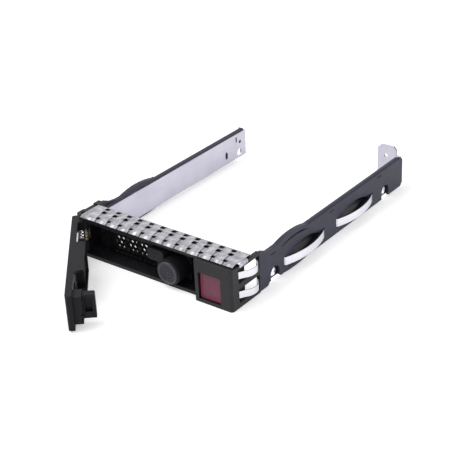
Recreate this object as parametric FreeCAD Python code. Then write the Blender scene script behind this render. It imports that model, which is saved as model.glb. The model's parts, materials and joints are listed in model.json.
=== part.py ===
import FreeCAD, Part
import math
import os

from FreeCAD import Vector

# Hot swap caddy for a 2.5 inch drive, shown with its lever open.
# Millimetres. +X is to the right as seen from the front, +Y runs back into the bay, +Z is up.
# The origin is where the caddy's bottom centre line crosses the front plane of the closed bezel.

# ---- The drive that the caddy carries (small form factor standard) ----
DRIVE_WIDTH = 69.85
DRIVE_LENGTH = 100.2
SCREW_PITCH = 76.6
SCREW_FROM_REAR = 14.0
SCREW_ABOVE_DRIVE = 3.0
DRIVE_INTO_BEZEL = 0.5
DRIVE_BOTTOM_Z = 0.6
DRIVE_SIDE_GAP = 0.3

# ---- Clearances, and how far a cutter runs past its piece ----
RUNNING_GAP = 0.05
SLIDE_GAP = 0.1
SEAT_GAP = 0.02
SIDE_CLEARANCE = 0.3
OVERCUT = 1.0

# ---- Sheet and moulding thicknesses ----
LINER_THICK = 0.6
RAIL_WEB = 1.2
WALL = 1.4
BACK_WALL = 1.4
EMI_THICK = 0.25
LEAF_THICK = 0.3
CLIP_THICK = 0.25

# ---- Bezel envelope ----
BEZEL_HEIGHT = 16.4
BEZEL_DEPTH = 16.4
SKIRT_LENGTH = 4.4
RECESS_SETBACK = 2.6

# ---- Places that most of the others are measured from ----
LINER_INNER_X = DRIVE_WIDTH / 2 + DRIVE_SIDE_GAP
RAIL_INNER_X = LINER_INNER_X + LINER_THICK
HALF_WIDTH = RAIL_INNER_X + RAIL_WEB
SIDE_WALL_X = HALF_WIDTH - WALL
ROOF_Z = BEZEL_HEIGHT - WALL
MIDDLE_Z = (WALL + ROOF_Z) / 2
FACE_DEPTH = BEZEL_DEPTH - SKIRT_LENGTH
BACK_WALL_Y = FACE_DEPTH - BACK_WALL
DRIVE_FRONT_Y = BEZEL_DEPTH - DRIVE_INTO_BEZEL
DRIVE_REAR_Y = DRIVE_FRONT_Y + DRIVE_LENGTH
REAR_SCREW_Y = DRIVE_REAR_Y - SCREW_FROM_REAR
FRONT_SCREW_Y = REAR_SCREW_Y - SCREW_PITCH
SCREWS_Y = (FRONT_SCREW_Y, REAR_SCREW_Y)
SCREW_Z = DRIVE_BOTTOM_Z + SCREW_ABOVE_DRIVE

# ---- Rails ----
RAIL_BOTTOM_Z = 0.9
RAIL_HEIGHT = 13.0
RAIL_TOP_Z = RAIL_BOTTOM_Z + RAIL_HEIGHT
LEFT_RAIL_END_Y = DRIVE_REAR_Y - 9.6
RIGHT_RAIL_END_Y = DRIVE_REAR_Y - 0.5
RAIL_FOOT_LENGTH = 4.6
RAIL_FOOT_TOP_Z = BEZEL_HEIGHT - 0.5
RAIL_FOOT_DROP = 0.5
RAIL_RELIEF = 0.6
RAIL_RELIEF_START = 1.2
RAIL_RELIEF_END = 7.4
RAIL_SHOULDER_RUN = 3.4
RAIL_END_RADIUS = 2.4
RAIL_END_CUT = (1.2, 1.4)
RAIL_EDGE_CHAMFER = 0.7
SCREW_NOTCH_RADIUS = 2.7
SCREW_HOLE_RADIUS = 1.7
BEAM_START_Y = FRONT_SCREW_Y + 1.5
BEAM_LENGTH = 19.0
BEAM_BULGE = 1.3
LOWER_BEAM_BULGE = 0.45
LOWER_BEAM_START = 4.0
BEAM_SLIT = 0.8
BEAM_DEPTH = 1.3

# ---- Leaf springs on the outside of the rails ----
LEAF_FRONTS_Y = (FRONT_SCREW_Y + 6.3, FRONT_SCREW_Y + 40.9)
LEAF_LENGTH = 25.2
LEAF_BOW = 2.3
LEAF_WIDTH = 3.2
LEAF_MID_Z = 5.3
LEAF_SLOT = 1.5
LEAF_HOOK = 0.9
LEAF_HOOK_RUN = 0.5
WINDOW_MARGIN = 2.35
WINDOW_RISE = 2.9
WINDOW_MID_Z = LEAF_MID_Z + 1.0

# ---- Liners ----
LINER_FRONT_GAP = 0.4
LINER_BOTTOM_GAP = 0.5
LINER_HEIGHT = 11.2
LINER_BOTTOM_Z = RAIL_BOTTOM_Z + LINER_BOTTOM_GAP
LINER_TOP_Z = LINER_BOTTOM_Z + LINER_HEIGHT
LINER_TAB_LENGTH = 2.6
LINER_TAB_HEIGHT = 0.5
LINER_TAB_Z = LINER_TOP_Z - 0.9
LINER_TABS_Y = (FRONT_SCREW_Y - 2.5, FRONT_SCREW_Y + 35.8, FRONT_SCREW_Y + 70.5)
LINER_TAB_INSET = 0.2
LINER_SLOT_RADIUS = 0.8
LINER_SLOT_BEHIND_LEAF = 1.2
LINER_WINDOW_Y = (REAR_SCREW_Y - 2.6, REAR_SCREW_Y - 1.8)
LINER_WINDOW_Z = (LINER_TOP_Z - 3.7, LINER_TOP_Z - 1.4)
LINER_DOT_BEHIND_SCREW = 0.4
LINER_DOT_RADIUS = 0.75

# ---- Rear tab of the right liner ----
REAR_TAB_GAP = 0.7
REAR_TAB_BEND = 1.0
REAR_TAB_INNER_X = LINER_INNER_X - 10.4
REAR_TAB_TOP_Z = 16.2
REAR_TAB_BOTTOM_Z = 3.0
REAR_TAB_SHOULDER = 1.9
REAR_TAB_INNER_CUT = 1.7
REAR_TAB_OUTER_CUT = 1.1
REAR_TAB_HOLE_INSET = 3.8
REAR_TAB_HOLE_RADIUS = 0.8

# ---- Bezel block and chamber ----
BLOCK_WIDTH = 16.0
BLOCK_LEFT_X = HALF_WIDTH - BLOCK_WIDTH
BLOCK_STEP = 1.4
RECESS_RIGHT_X = BLOCK_LEFT_X - BLOCK_STEP
BLOCK_FRONT_WALL = 1.6
BLOCK_CORNER_RADIUS = 1.2
BLOCK_PIP_RADIUS = 0.35
BLOCK_PIP_INSET = (2.2, 3.4)
CHAMBER_SIDE = 4.4
CHAMBER_RIGHT_X = HALF_WIDTH - CHAMBER_SIDE
CHAMBER_WALL = 1.0
REAR_CORNER_LENGTH = 2.0
SIDE_WINDOW_FRONT = 4.2
SIDE_WINDOW_END_GAP = 0.2
SIDE_WINDOW_END = BEZEL_DEPTH - SIDE_WINDOW_END_GAP
SIDE_WINDOW_SILL = WALL + 0.5
SIDE_WINDOW_RIB = 2.2
SIDE_WINDOW_HEIGHT = (ROOF_Z - SIDE_WINDOW_SILL - SIDE_WINDOW_RIB) / 2
SIDE_WINDOWS_Z = ((SIDE_WINDOW_SILL, SIDE_WINDOW_SILL + SIDE_WINDOW_HEIGHT),
                  (ROOF_Z - SIDE_WINDOW_HEIGHT, ROOF_Z))
BROW_DROP = 0.5
BROW_DEPTH = 0.8
EAR_RISE = 0.7
EAR_REACH = 2.4
EAR_RADIUS = 1.2
REAR_EAR_WIDTH = 3.2
REAR_EAR_GAP = 0.4
REAR_EAR_RISE = 0.5

# ---- Status lamp ----
LAMP_FROM_BLOCK = 13.0
LAMP_ABOVE_WALL = 5.1
LAMP_X = BLOCK_LEFT_X - LAMP_FROM_BLOCK
LAMP_Z = WALL + LAMP_ABOVE_WALL
LAMP_COLLAR_RADIUS = 5.0
LAMP_COLLAR_WALL = 0.6
LAMP_COLLAR_PROUD = 1.4
LAMP_BLOCK_REACH = 10.6
LAMP_BLOCK_OVERLAP = 3.0
LAMP_BLOCK_X = (LAMP_X - LAMP_BLOCK_REACH, LAMP_X - LAMP_BLOCK_OVERLAP)
LAMP_BLOCK_RISE = 2.0
LAMP_RING_WALL = 1.05
LAMP_RING_CHAMFER = 0.3
LAMP_STEM_RADIUS = 1.4
LAMP_FRONT_Y = 0.3
LAMP_CAP_SET_BACK = 0.4
LAMP_CAP_THICK = 1.6
LAMP_GROOVE_RADII = (1.2, 2.3)
LAMP_GROOVE_WIDTH = 0.3
LAMP_GROOVE_DEPTH = 0.25
BOARD_FROM_BACK = 2.8
BOARD_FRONT_Y = BACK_WALL_Y - BOARD_FROM_BACK
BOARD_THICK = 1.0
BOARD_REACH = (11.0, 5.0)
BOARD_X = (LAMP_X - BOARD_REACH[0], LAMP_X + BOARD_REACH[1])
BOARD_Z = (WALL + 0.2, ROOF_Z - 0.6)
CHIP_WIDTH = 1.8
CHIP_PITCH = 3.0
CHIP_THICK = 0.8
CHIP_FROM_LAMP = 5.4
CHIP_Z = (WALL + 1.6, WALL + 4.6)
PEG_RADIUS = 0.6
PEG_SEAT_WALL = 0.6
PEG_SET_BACK = 0.2
PEG_INSET_LEFT = 1.6
PEG_INSET_RIGHT = 1.2

# ---- Pivot and lever ----
PIVOT_INSET = 2.4
PIVOT_X = PIVOT_INSET - HALF_WIDTH
PIVOT_Y = 4.6
PIN_RADIUS = 0.8
PIN_BOTTOM_Z = 0.3
PIN_PROUD = 0.2
KNUCKLE_RADIUS = 2.0
KNUCKLE_ARM = (1.2, 2.2)
KNUCKLE_ARM_X = (PIVOT_X - KNUCKLE_ARM[0], PIVOT_X + KNUCKLE_ARM[1])
OPEN_ANGLE = 49.0
LEVER_HEEL = 3.8
LEVER_TIP_GAP = 0.6
LEVER_LEFT_X = PIVOT_X - LEVER_HEEL
LEVER_TIP_X = BLOCK_LEFT_X - LEVER_TIP_GAP
LEVER_PLATE = 2.4
LAMP_HOLE_RADIUS = LAMP_COLLAR_RADIUS + SIDE_CLEARANCE
LAMP_HOLE_WEB = 0.5
LEVER_BOTTOM_Z = LAMP_Z - LAMP_HOLE_RADIUS - LAMP_HOLE_WEB
LEVER_TOP_Z = ROOF_Z - BROW_DROP - SIDE_CLEARANCE
LEVER_EDGE_RADIUS = 1.1
GRIP_START = 17.0
GRIP_LAMP_GAP = 0.8
GRIP_X = (PIVOT_X + GRIP_START, LAMP_BLOCK_X[0] - GRIP_LAMP_GAP)
GRIP_DEPTH = 5.8
GRIP_BOTTOM_Z = WALL + 0.4
GRIP_WALL = 1.2
GRIP_RIB = 0.8
GRIP_RIB_COUNT = 3
FLANGE_SHORT_OF_LAMP = 2.6
FLANGE_END_X = LAMP_X - FLANGE_SHORT_OF_LAMP
FLANGE_THICK = 0.8
LAMP_BLOCK_Z = (LAMP_Z + LAMP_BLOCK_RISE, LEVER_TOP_Z - FLANGE_THICK - SIDE_CLEARANCE)
LAMP_BLOCK_RADIUS = 0.35 * (LAMP_BLOCK_Z[1] - LAMP_BLOCK_Z[0])
SCOOP_RADIUS = 5.0
SCOOP_OFFSET = 2.6
CATCH_FROM_BLOCK = (7.1, 1.8)
CATCH_BLOCK_X = (BLOCK_LEFT_X - CATCH_FROM_BLOCK[0], BLOCK_LEFT_X - CATCH_FROM_BLOCK[1])
CATCH_BLOCK_DEPTH = 5.4
CATCH_THICK = 3.0
CATCH_NOSE_GAP = 0.8
CATCH_REACH = BACK_WALL_Y - CATCH_NOSE_GAP
CATCH_Z = (WALL + 1.8, ROOF_Z - 2.8)
CATCH_SHOULDER = 0.8
CATCH_GROOVE = 0.6
CATCH_NOTCH_DEPTH = 1.5
CATCH_NOSE_RADIUS = 0.8
CAM_PLATE_SIZE = (7.8, 7.2)
CAM_PLATE_GAP = 0.2
CAM_PLATE_X = (GRIP_X[0] - CAM_PLATE_GAP - CAM_PLATE_SIZE[0], GRIP_X[0] - CAM_PLATE_GAP)
CAM_PLATE_Z = (LEVER_TOP_Z - CAM_PLATE_GAP - CAM_PLATE_SIZE[1], LEVER_TOP_Z - CAM_PLATE_GAP)
CAM_PLATE_THICK = 0.5
CAM_PLATE_RADIUS = 1.0

# ---- Springs on the pin and behind the button ----
LEVER_COIL_RADIUS = 1.68
LEVER_COIL_WIRE = 0.23
LEVER_COIL_TURNS = 3
LEVER_COIL_HEIGHT = 4.0
LEVER_COIL_Z = (MIDDLE_Z - LEVER_COIL_HEIGHT / 2, MIDDLE_Z + LEVER_COIL_HEIGHT / 2)
LEVER_COIL_LEG = 4.8
KNUCKLE_COIL_GAP = 0.6
BUTTON_COIL_RADIUS = 1.15
BUTTON_COIL_WIRE = 0.2
BUTTON_COIL_TURNS = 4
COIL_PEG_RADIUS = 0.7
COIL_PEG_LENGTH = 2.0

# ---- Release button and latch ----
BUTTON_WIDTH = 9.0
BUTTON_INSET = 1.8
BUTTON_LEFT_X = BLOCK_LEFT_X + BUTTON_INSET
BUTTON_TOP_DROP = 3.5
BUTTON_Z = (WALL + SLIDE_GAP, ROOF_Z - BUTTON_TOP_DROP)
BUTTON_RECESS = 0.8
BUTTON_FACE = 1.6
BUTTON_DEPTH = 3.6
BUTTON_SIDE = 0.8
BUTTON_RIM = 0.7
BUTTON_DISH = 0.25
BUTTON_FLANGE = 0.5
BUTTON_FLANGE_THICK = 0.8
LATCH_THICK = 2.2
LATCH_FROM_BACK = 2.2
LATCH_Y = (BACK_WALL_Y - LATCH_FROM_BACK - LATCH_THICK, BACK_WALL_Y - LATCH_FROM_BACK)
LATCH_HEIGHT = 4.6
LATCH_MIDDLE_Z = MIDDLE_Z + SLIDE_GAP
LATCH_Z = (LATCH_MIDDLE_Z - LATCH_HEIGHT / 2, LATCH_MIDDLE_Z + LATCH_HEIGHT / 2)
LATCH_SPRING_ROOM = 3.2
LATCH_RIGHT_X = CHAMBER_RIGHT_X - LATCH_SPRING_ROOM
LATCH_WINDOW_INSET = 1.0
LATCH_WINDOW_LEFT_X = BLOCK_LEFT_X + LATCH_WINDOW_INSET
LATCH_SHELF = 1.0
WEDGE_INSET = 3.0
WEDGE_WIDTH = 3.6
WEDGE_X = (BLOCK_LEFT_X + WEDGE_INSET, BLOCK_LEFT_X + WEDGE_INSET + WEDGE_WIDTH)
WEDGE_MARGIN = 1.2
WEDGE_Z = (LATCH_Z[0] + WEDGE_MARGIN, LATCH_Z[1] - WEDGE_MARGIN)
WEDGE_TIP_FROM_BACK = 2.64
WEDGE_TIP_Y = BACK_WALL_Y - WEDGE_TIP_FROM_BACK
WEDGE_SHOULDER = 3.9
WEDGE_LINE = WEDGE_X[1] + BACK_WALL_Y - WEDGE_SHOULDER
LATCH_LINE = WEDGE_LINE + SLIDE_GAP * math.sqrt(2)
TOOTH_ENGAGEMENT = 1.1
TOOTH_TIP_X = CATCH_BLOCK_X[0] + CATCH_THICK - TOOTH_ENGAGEMENT
TOOTH_SLOPE = 1.5
TOOTH_LAND = 0.9
LATCH_LEAF_THICK = 0.2
LATCH_LEAF_HALF = 2.6
LATCH_LEAF_INSET = 0.8
BUTTON_COIL_X = BUTTON_LEFT_X + BUTTON_WIDTH / 2
BUTTON_COIL_Z = (WALL + LATCH_Z[0] - LATCH_SHELF) / 2

# ---- Vent panel and the windows behind it ----
VENT_FROM_PIVOT = 8.1
VENT_X = (PIVOT_X + VENT_FROM_PIVOT, BOARD_X[0] - SIDE_CLEARANCE)
VENT_FROM_BACK = 2.2
VENT_FRONT_Y = BACK_WALL_Y - VENT_FROM_BACK
VENT_THICK = 1.0
VENT_SLOT = (2.5, 1.8)
VENT_SLOT_COUNT = 4
VENT_SLOT_PITCH = 2.9
VENT_SLOT_INSET = 0.8
VENT_SLOT_Z = ROOF_Z - 3.0
HEX_ROWS = 4
HEX_COLUMNS = 9
HEX_WEB = 0.6
HEX_RIGHT_MARGIN = 1.8
HEX_LEFT_MARGIN = 3.8
HEX_BOTTOM_Z = WALL + 1.6
HEX_TOP_Z = VENT_SLOT_Z - 3.3
HEX_PITCH_X = (VENT_X[1] - VENT_X[0] - HEX_RIGHT_MARGIN - HEX_LEFT_MARGIN) / (HEX_COLUMNS - 1)
HEX_PITCH_Z = (HEX_TOP_Z - HEX_BOTTOM_Z) / (HEX_ROWS - 1)
HEX_ACROSS = min(HEX_PITCH_X, math.hypot(HEX_PITCH_X / 2, HEX_PITCH_Z)) - HEX_WEB
BACK_WINDOW_COUNT = 5
BACK_WINDOW_RIB = 1.0
BACK_WINDOWS_X = (PIVOT_X + 3.6, BOARD_X[0])
BACK_WINDOW_Z = (WALL + 1.2, ROOF_Z - 2.0)

# ---- Shielding strip on top of the bezel ----
FINGER_COUNT = 13
EMI_LEFT_X = 3.5 - HALF_WIDTH
EMI_RIGHT_X = HALF_WIDTH - 0.6
EMI_END_MARGIN = 0.5
FINGER_PITCH = (EMI_RIGHT_X - EMI_LEFT_X - 2 * EMI_END_MARGIN) / FINGER_COUNT
EMI_FRONT_Y = 0.9
EMI_CREST_Y = FACE_DEPTH - 5.8
EMI_TOP_Z = BEZEL_HEIGHT + 1.1
EMI_LIP_Z = BEZEL_HEIGHT + 0.4
EMI_LIP_BEND = 1.0
EMI_REAR_Y = FACE_DEPTH + EMI_THICK + RUNNING_GAP
EMI_REAR_BEND = 0.5
EMI_HOOK_DROP = 0.6
SLIT_WIDTH = 0.5
SLIT_STEP = 2.2
SLIT_STEP_Y = FACE_DEPTH - 5.8
SLIT_STEP_LENGTH = 0.9
LIP_NOTCH = 0.5
REAR_HOLE_HALF = 0.9
REAR_HOLE_Y = (FACE_DEPTH - 2.1, FACE_DEPTH - 0.5)
MIDDLE_HOLE_HALF = 0.8
MIDDLE_HOLE_Y = (FACE_DEPTH - 4.4, FACE_DEPTH - 3.4)
FRONT_HOLE_HALF = 0.75
FRONT_HOLE_Y = (3.9, 5.1)
STRIP_HOLE_Y = FACE_DEPTH - 3.6
STRIP_HOLE_RADIUS = 0.6
STRIP_HOLE_INSETS = (2.4, 2.2)
STRIP_CORNER = (2.4, 4.0)
END_TAB_FRONT_Y = 4.4
END_TAB_LENGTH = FACE_DEPTH - 2.8 - END_TAB_FRONT_Y
END_TAB_Z = EMI_TOP_Z - 0.35
END_TAB_X = HALF_WIDTH + RUNNING_GAP
END_TAB_BEND = 0.5
END_TAB_OVERLAP = 0.3
END_TAB_DROP = 1.0

# ---- Grounding clip in the side windows ----
CLIP_SPINE_INSET = 0.3
CLIP_ROOT = 0.2
CLIP_MARGIN = 1.2
CLIP_TOP_MARGIN = 1.6
CLIP_KNEE = (0.2, 3.2)
CLIP_CREST = (1.6, 4.4)
CLIP_END = (0.7, 0.6)


def box(x0, x1, y0, y1, z0, z1):
    """A block between two corners."""
    return Part.makeBox(x1 - x0, y1 - y0, z1 - z0, Vector(x0, y0, z0))


def cylinder(start, direction, radius, length):
    """A round bar from a point along a direction."""
    return Part.makeCylinder(radius, length, Vector(*start), Vector(*direction))


def prism_z(points, z0, z1):
    """A plan outline of (x, y) points raised from z0 to z1."""
    corners = [Vector(x, y, z0) for x, y in points]
    return Part.Face(Part.makePolygon(corners + corners[:1])).extrude(Vector(0, 0, z1 - z0))


def prism_x(points, x0, x1):
    """A side outline of (y, z) points run from x0 to x1."""
    corners = [Vector(x0, y, z) for y, z in points]
    return Part.Face(Part.makePolygon(corners + corners[:1])).extrude(Vector(x1 - x0, 0, 0))


def line(a, b):
    return Part.LineSegment(Vector(*a), Vector(*b)).toShape()


def arc(a, b, c):
    """The arc from a to c through b."""
    return Part.Arc(Vector(*a), Vector(*b), Vector(*c)).toShape()


def sheet(edges, thickness, run):
    """Bent sheet metal: a centre line thickened to one side, then run along a direction."""
    face = Part.Wire(edges).makeOffset2D(thickness, 0, True, True, False)
    return face.extrude(Vector(*run))


def crescent_x(y0, y1, z, rise_low, rise_high, x0, x1):
    """The space between two arcs on one chord, run from x0 to x1."""
    middle = (y0 + y1) / 2
    low = arc((x0, y0, z), (x0, middle, z + rise_low), (x0, y1, z))
    high = arc((x0, y1, z), (x0, middle, z + rise_high), (x0, y0, z))
    return Part.Face(Part.Wire([low, high])).extrude(Vector(x1 - x0, 0, 0))


def bump_x(y0, y1, z, rise, x0, x1):
    """A shallow arched bump on a straight edge, run from x0 to x1."""
    middle = (y0 + y1) / 2
    top = arc((x0, y0, z), (x0, middle, z + rise), (x0, y1, z))
    foot = line((x0, y1, z), (x0, y0, z))
    return Part.Face(Part.Wire([top, foot])).extrude(Vector(x1 - x0, 0, 0))


def coil(radius, wire, pitch, height):
    """A wire with six flats wound up the Z axis, starting on +X."""
    spine = Part.Wire(Part.makeHelix(pitch, height, radius))
    corners = [Vector(radius + wire * math.cos((k + 0.5) * math.pi / 3), 0,
                      wire * math.sin((k + 0.5) * math.pi / 3)) for k in range(6)]
    return spine.makePipeShell([Part.makePolygon(corners + corners[:1])], True, True)


def rounded(shape, radius, axis, place):
    """Rounds the straight edges along one axis whose middle lies where place says."""
    chosen = []
    for edge in shape.Edges:
        if edge.Curve.TypeId != "Part::GeomLine":
            continue
        direction = edge.tangentAt(edge.FirstParameter)
        if abs(direction.dot(Vector(*axis))) > 0.999 and place(edge.CenterOfMass):
            chosen.append(edge)
    return shape.makeFillet(radius, chosen) if chosen else shape


def mirrored(shape):
    """The same shape on the other side of the caddy."""
    return shape.mirror(Vector(0, 0, 0), Vector(1, 0, 0))


def opened(shape):
    """Turns a piece of the lever from its closed place to its open one."""
    turned = shape.copy()
    turned.rotate(Vector(PIVOT_X, PIVOT_Y, 0), Vector(0, 0, 1), -OPEN_ANGLE)
    return turned


# ---- Rails ----

def leaf_slots():
    """The upright slots that the ends of both leaf springs hook into."""
    slots = []
    z0 = LEAF_MID_Z - LEAF_WIDTH / 2 - SIDE_CLEARANCE
    z1 = LEAF_MID_Z + LEAF_WIDTH / 2 + SIDE_CLEARANCE
    for front in LEAF_FRONTS_Y:
        for end in (front, front + LEAF_LENGTH):
            slots.append(box(0, HALF_WIDTH + OVERCUT, end - LEAF_SLOT / 2, end + LEAF_SLOT / 2, z0, z1))
    return slots


def leaf_windows():
    """The lens shaped openings that the leaf springs flex into."""
    return [crescent_x(front + WINDOW_MARGIN, front + LEAF_LENGTH - WINDOW_MARGIN, WINDOW_MID_Z,
                       -WINDOW_RISE, WINDOW_RISE, 0, HALF_WIDTH + OVERCUT) for front in LEAF_FRONTS_Y]


def rail(end_y):
    """Right-hand rail: thin web, tall foot at the bezel, detent beams, notches and windows."""
    foot_y = BEZEL_DEPTH + RAIL_FOOT_LENGTH
    outline = [(BEZEL_DEPTH, RAIL_BOTTOM_Z - RAIL_FOOT_DROP), (foot_y, RAIL_BOTTOM_Z - RAIL_FOOT_DROP),
               (foot_y + RAIL_RELIEF_START, RAIL_BOTTOM_Z + RAIL_RELIEF),
               (foot_y + RAIL_RELIEF_END, RAIL_BOTTOM_Z + RAIL_RELIEF),
               (foot_y + RAIL_RELIEF_END + RAIL_RELIEF, RAIL_BOTTOM_Z),
               (end_y - RAIL_END_CUT[0], RAIL_BOTTOM_Z), (end_y, RAIL_BOTTOM_Z + RAIL_END_CUT[1]),
               (end_y, RAIL_TOP_Z), (foot_y + RAIL_SHOULDER_RUN, RAIL_TOP_Z),
               (foot_y, RAIL_TOP_Z + RAIL_FOOT_DROP),
               (BEZEL_DEPTH + RAIL_END_CUT[1], RAIL_FOOT_TOP_Z), (BEZEL_DEPTH, RAIL_FOOT_TOP_Z)]
    body = prism_x(outline, RAIL_INNER_X, HALF_WIDTH)
    body = rounded(body, RAIL_END_RADIUS, (1, 0, 0),
                   lambda p: p.y > end_y - SEAT_GAP and p.z > RAIL_TOP_Z - RAIL_HEIGHT / 2)
    lip = box(LINER_INNER_X, RAIL_INNER_X, BEZEL_DEPTH, end_y - RAIL_END_RADIUS,
              LINER_TOP_Z + SLIDE_GAP, RAIL_TOP_Z)
    beam_end = BEAM_START_Y + BEAM_LENGTH
    body = body.fuse([
        lip,
        bump_x(BEAM_START_Y, beam_end, RAIL_TOP_Z, BEAM_BULGE, LINER_INNER_X, HALF_WIDTH),
        bump_x(BEAM_START_Y + LOWER_BEAM_START, beam_end, RAIL_BOTTOM_Z, -LOWER_BEAM_BULGE,
               RAIL_INNER_X, HALF_WIDTH)])
    cuts = leaf_slots() + leaf_windows() + screw_notches() + beam_slits() + tab_slots()
    cuts.append(edge_chamfer(end_y))
    return body.cut(cuts)


def screw_notches():
    """Round-topped notches, open below, for the heads of the drive's screws."""
    notches = []
    for screw_y in SCREWS_Y:
        notches.append(cylinder((0, screw_y, SCREW_Z), (1, 0, 0), SCREW_NOTCH_RADIUS, HALF_WIDTH + OVERCUT))
        notches.append(box(0, HALF_WIDTH + OVERCUT, screw_y - SCREW_NOTCH_RADIUS,
                           screw_y + SCREW_NOTCH_RADIUS, -OVERCUT, SCREW_Z))
    return notches


def beam_slits():
    """The curved slits that free the upper and lower detent beams."""
    beam_end = BEAM_START_Y + BEAM_LENGTH
    half = BEAM_SLIT / 2
    return [crescent_x(BEAM_START_Y + 2, beam_end + 1, RAIL_TOP_Z - BEAM_DEPTH - BEAM_SLIT,
                       BEAM_BULGE - half, BEAM_BULGE + half, 0, HALF_WIDTH + OVERCUT),
            crescent_x(BEAM_START_Y + LOWER_BEAM_START + 2, beam_end - 2, RAIL_BOTTOM_Z + BEAM_DEPTH,
                       SLIDE_GAP - half, SLIDE_GAP + half, 0, HALF_WIDTH + OVERCUT)]


def tab_slots():
    """The slots that the liner's hook tabs sit in."""
    return [box(0, HALF_WIDTH + OVERCUT, tab_y - SEAT_GAP, tab_y + LINER_TAB_LENGTH + SEAT_GAP,
                LINER_TAB_Z - SEAT_GAP, LINER_TAB_Z + LINER_TAB_HEIGHT + SEAT_GAP)
            for tab_y in LINER_TABS_Y]


def edge_chamfer(end_y):
    """The bevel along the outer top edge of a rail, behind its detent beam."""
    start = BEAM_START_Y + BEAM_LENGTH + OVERCUT
    over = SLIDE_GAP
    corners = [Vector(HALF_WIDTH + over, start, RAIL_TOP_Z - RAIL_EDGE_CHAMFER),
               Vector(HALF_WIDTH + over, start, RAIL_TOP_Z + over),
               Vector(HALF_WIDTH - RAIL_EDGE_CHAMFER, start, RAIL_TOP_Z + over)]
    face = Part.Face(Part.makePolygon(corners + corners[:1]))
    return face.extrude(Vector(0, end_y - start - RAIL_END_RADIUS, 0))


def leaf_spring(front):
    """A bowed strip whose hooked ends sit in two slots of the right-hand rail."""
    rear = front + LEAF_LENGTH
    middle = (front + rear) / 2
    z = LEAF_MID_Z - LEAF_WIDTH / 2
    near_x = HALF_WIDTH + SLIDE_GAP
    deep_x = near_x - LEAF_HOOK
    half_run = LEAF_HOOK_RUN / 2
    edges = [line((deep_x, front - half_run, z), (near_x, front + half_run, z)),
             arc((near_x, front + half_run, z), (near_x + LEAF_BOW, middle, z),
                 (near_x, rear - half_run, z)),
             line((near_x, rear - half_run, z), (deep_x, rear + half_run, z))]
    return sheet(edges, LEAF_THICK, (0, 0, LEAF_WIDTH))


# ---- Liners ----

def liner(end_y):
    """Right-hand sheet metal liner with its hook tabs and screw holes."""
    front = BEZEL_DEPTH + LINER_FRONT_GAP
    body = box(LINER_INNER_X, RAIL_INNER_X, front, end_y, LINER_BOTTOM_Z, LINER_TOP_Z)
    tabs = [box(RAIL_INNER_X - SLIDE_GAP, HALF_WIDTH - LINER_TAB_INSET, tab_y, tab_y + LINER_TAB_LENGTH,
                LINER_TAB_Z, LINER_TAB_Z + LINER_TAB_HEIGHT) for tab_y in LINER_TABS_Y]
    cuts = [cylinder((0, screw_y, SCREW_Z), (1, 0, 0), SCREW_HOLE_RADIUS, HALF_WIDTH)
            for screw_y in SCREWS_Y]
    slot_y = LEAF_FRONTS_Y[1] + LEAF_LENGTH + LINER_SLOT_BEHIND_LEAF
    slot_ends = (LEAF_MID_Z - LINER_SLOT_RADIUS, LEAF_MID_Z + LINER_SLOT_RADIUS)
    cuts += [cylinder((0, slot_y, z), (1, 0, 0), LINER_SLOT_RADIUS, HALF_WIDTH) for z in slot_ends]
    cuts.append(box(0, HALF_WIDTH, slot_y - LINER_SLOT_RADIUS, slot_y + LINER_SLOT_RADIUS, *slot_ends))
    cuts.append(box(0, HALF_WIDTH, *LINER_WINDOW_Y, *LINER_WINDOW_Z))
    cuts.append(cylinder((0, REAR_SCREW_Y + LINER_DOT_BEHIND_SCREW, LINER_WINDOW_Z[0] - LINER_TAB_HEIGHT),
                         (1, 0, 0), LINER_DOT_RADIUS, HALF_WIDTH))
    return body.fuse(tabs).cut(cuts)


def right_liner():
    """The right liner runs past its rail and turns in behind the drive as a tab."""
    bend = REAR_TAB_BEND
    middle = bend * (1 - math.sqrt(0.5))
    z = REAR_TAB_BOTTOM_Z
    corner_y = DRIVE_REAR_Y + REAR_TAB_GAP + LINER_THICK
    edges = [line((RAIL_INNER_X, RIGHT_RAIL_END_Y - OVERCUT, z), (RAIL_INNER_X, corner_y - bend, z)),
             arc((RAIL_INNER_X, corner_y - bend, z), (RAIL_INNER_X - middle, corner_y - middle, z),
                 (RAIL_INNER_X - bend, corner_y, z)),
             line((RAIL_INNER_X - bend, corner_y, z), (REAR_TAB_INNER_X, corner_y, z))]
    tab = sheet(edges, -LINER_THICK, (0, 0, REAR_TAB_TOP_Z - z))
    outer_x = LINER_INNER_X - REAR_TAB_SHOULDER
    trims = [box(outer_x, HALF_WIDTH, RIGHT_RAIL_END_Y - 2 * OVERCUT, corner_y + OVERCUT, LINER_TOP_Z,
                 REAR_TAB_TOP_Z + OVERCUT),
             tab_corner(REAR_TAB_INNER_X, 1, REAR_TAB_INNER_CUT, corner_y),
             tab_corner(outer_x, -1, REAR_TAB_OUTER_CUT, corner_y),
             cylinder((REAR_TAB_INNER_X + REAR_TAB_HOLE_INSET, 0, LINER_TOP_Z - 1), (0, 1, 0),
                      REAR_TAB_HOLE_RADIUS, corner_y + OVERCUT)]
    return liner(RIGHT_RAIL_END_Y).fuse(tab.cut(trims)).removeSplitter()


def tab_corner(x, inward, size, end_y):
    """The cutter that bevels one upper corner of the rear tab."""
    top = REAR_TAB_TOP_Z + OVERCUT
    corners = [Vector(x - inward * OVERCUT, 0, top),
               Vector(x - inward * OVERCUT, 0, REAR_TAB_TOP_Z - size - OVERCUT),
               Vector(x + inward * (size + OVERCUT), 0, top)]
    face = Part.Face(Part.makePolygon(corners + corners[:1]))
    return face.extrude(Vector(0, end_y + OVERCUT, 0))


# ---- Bezel ----

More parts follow.
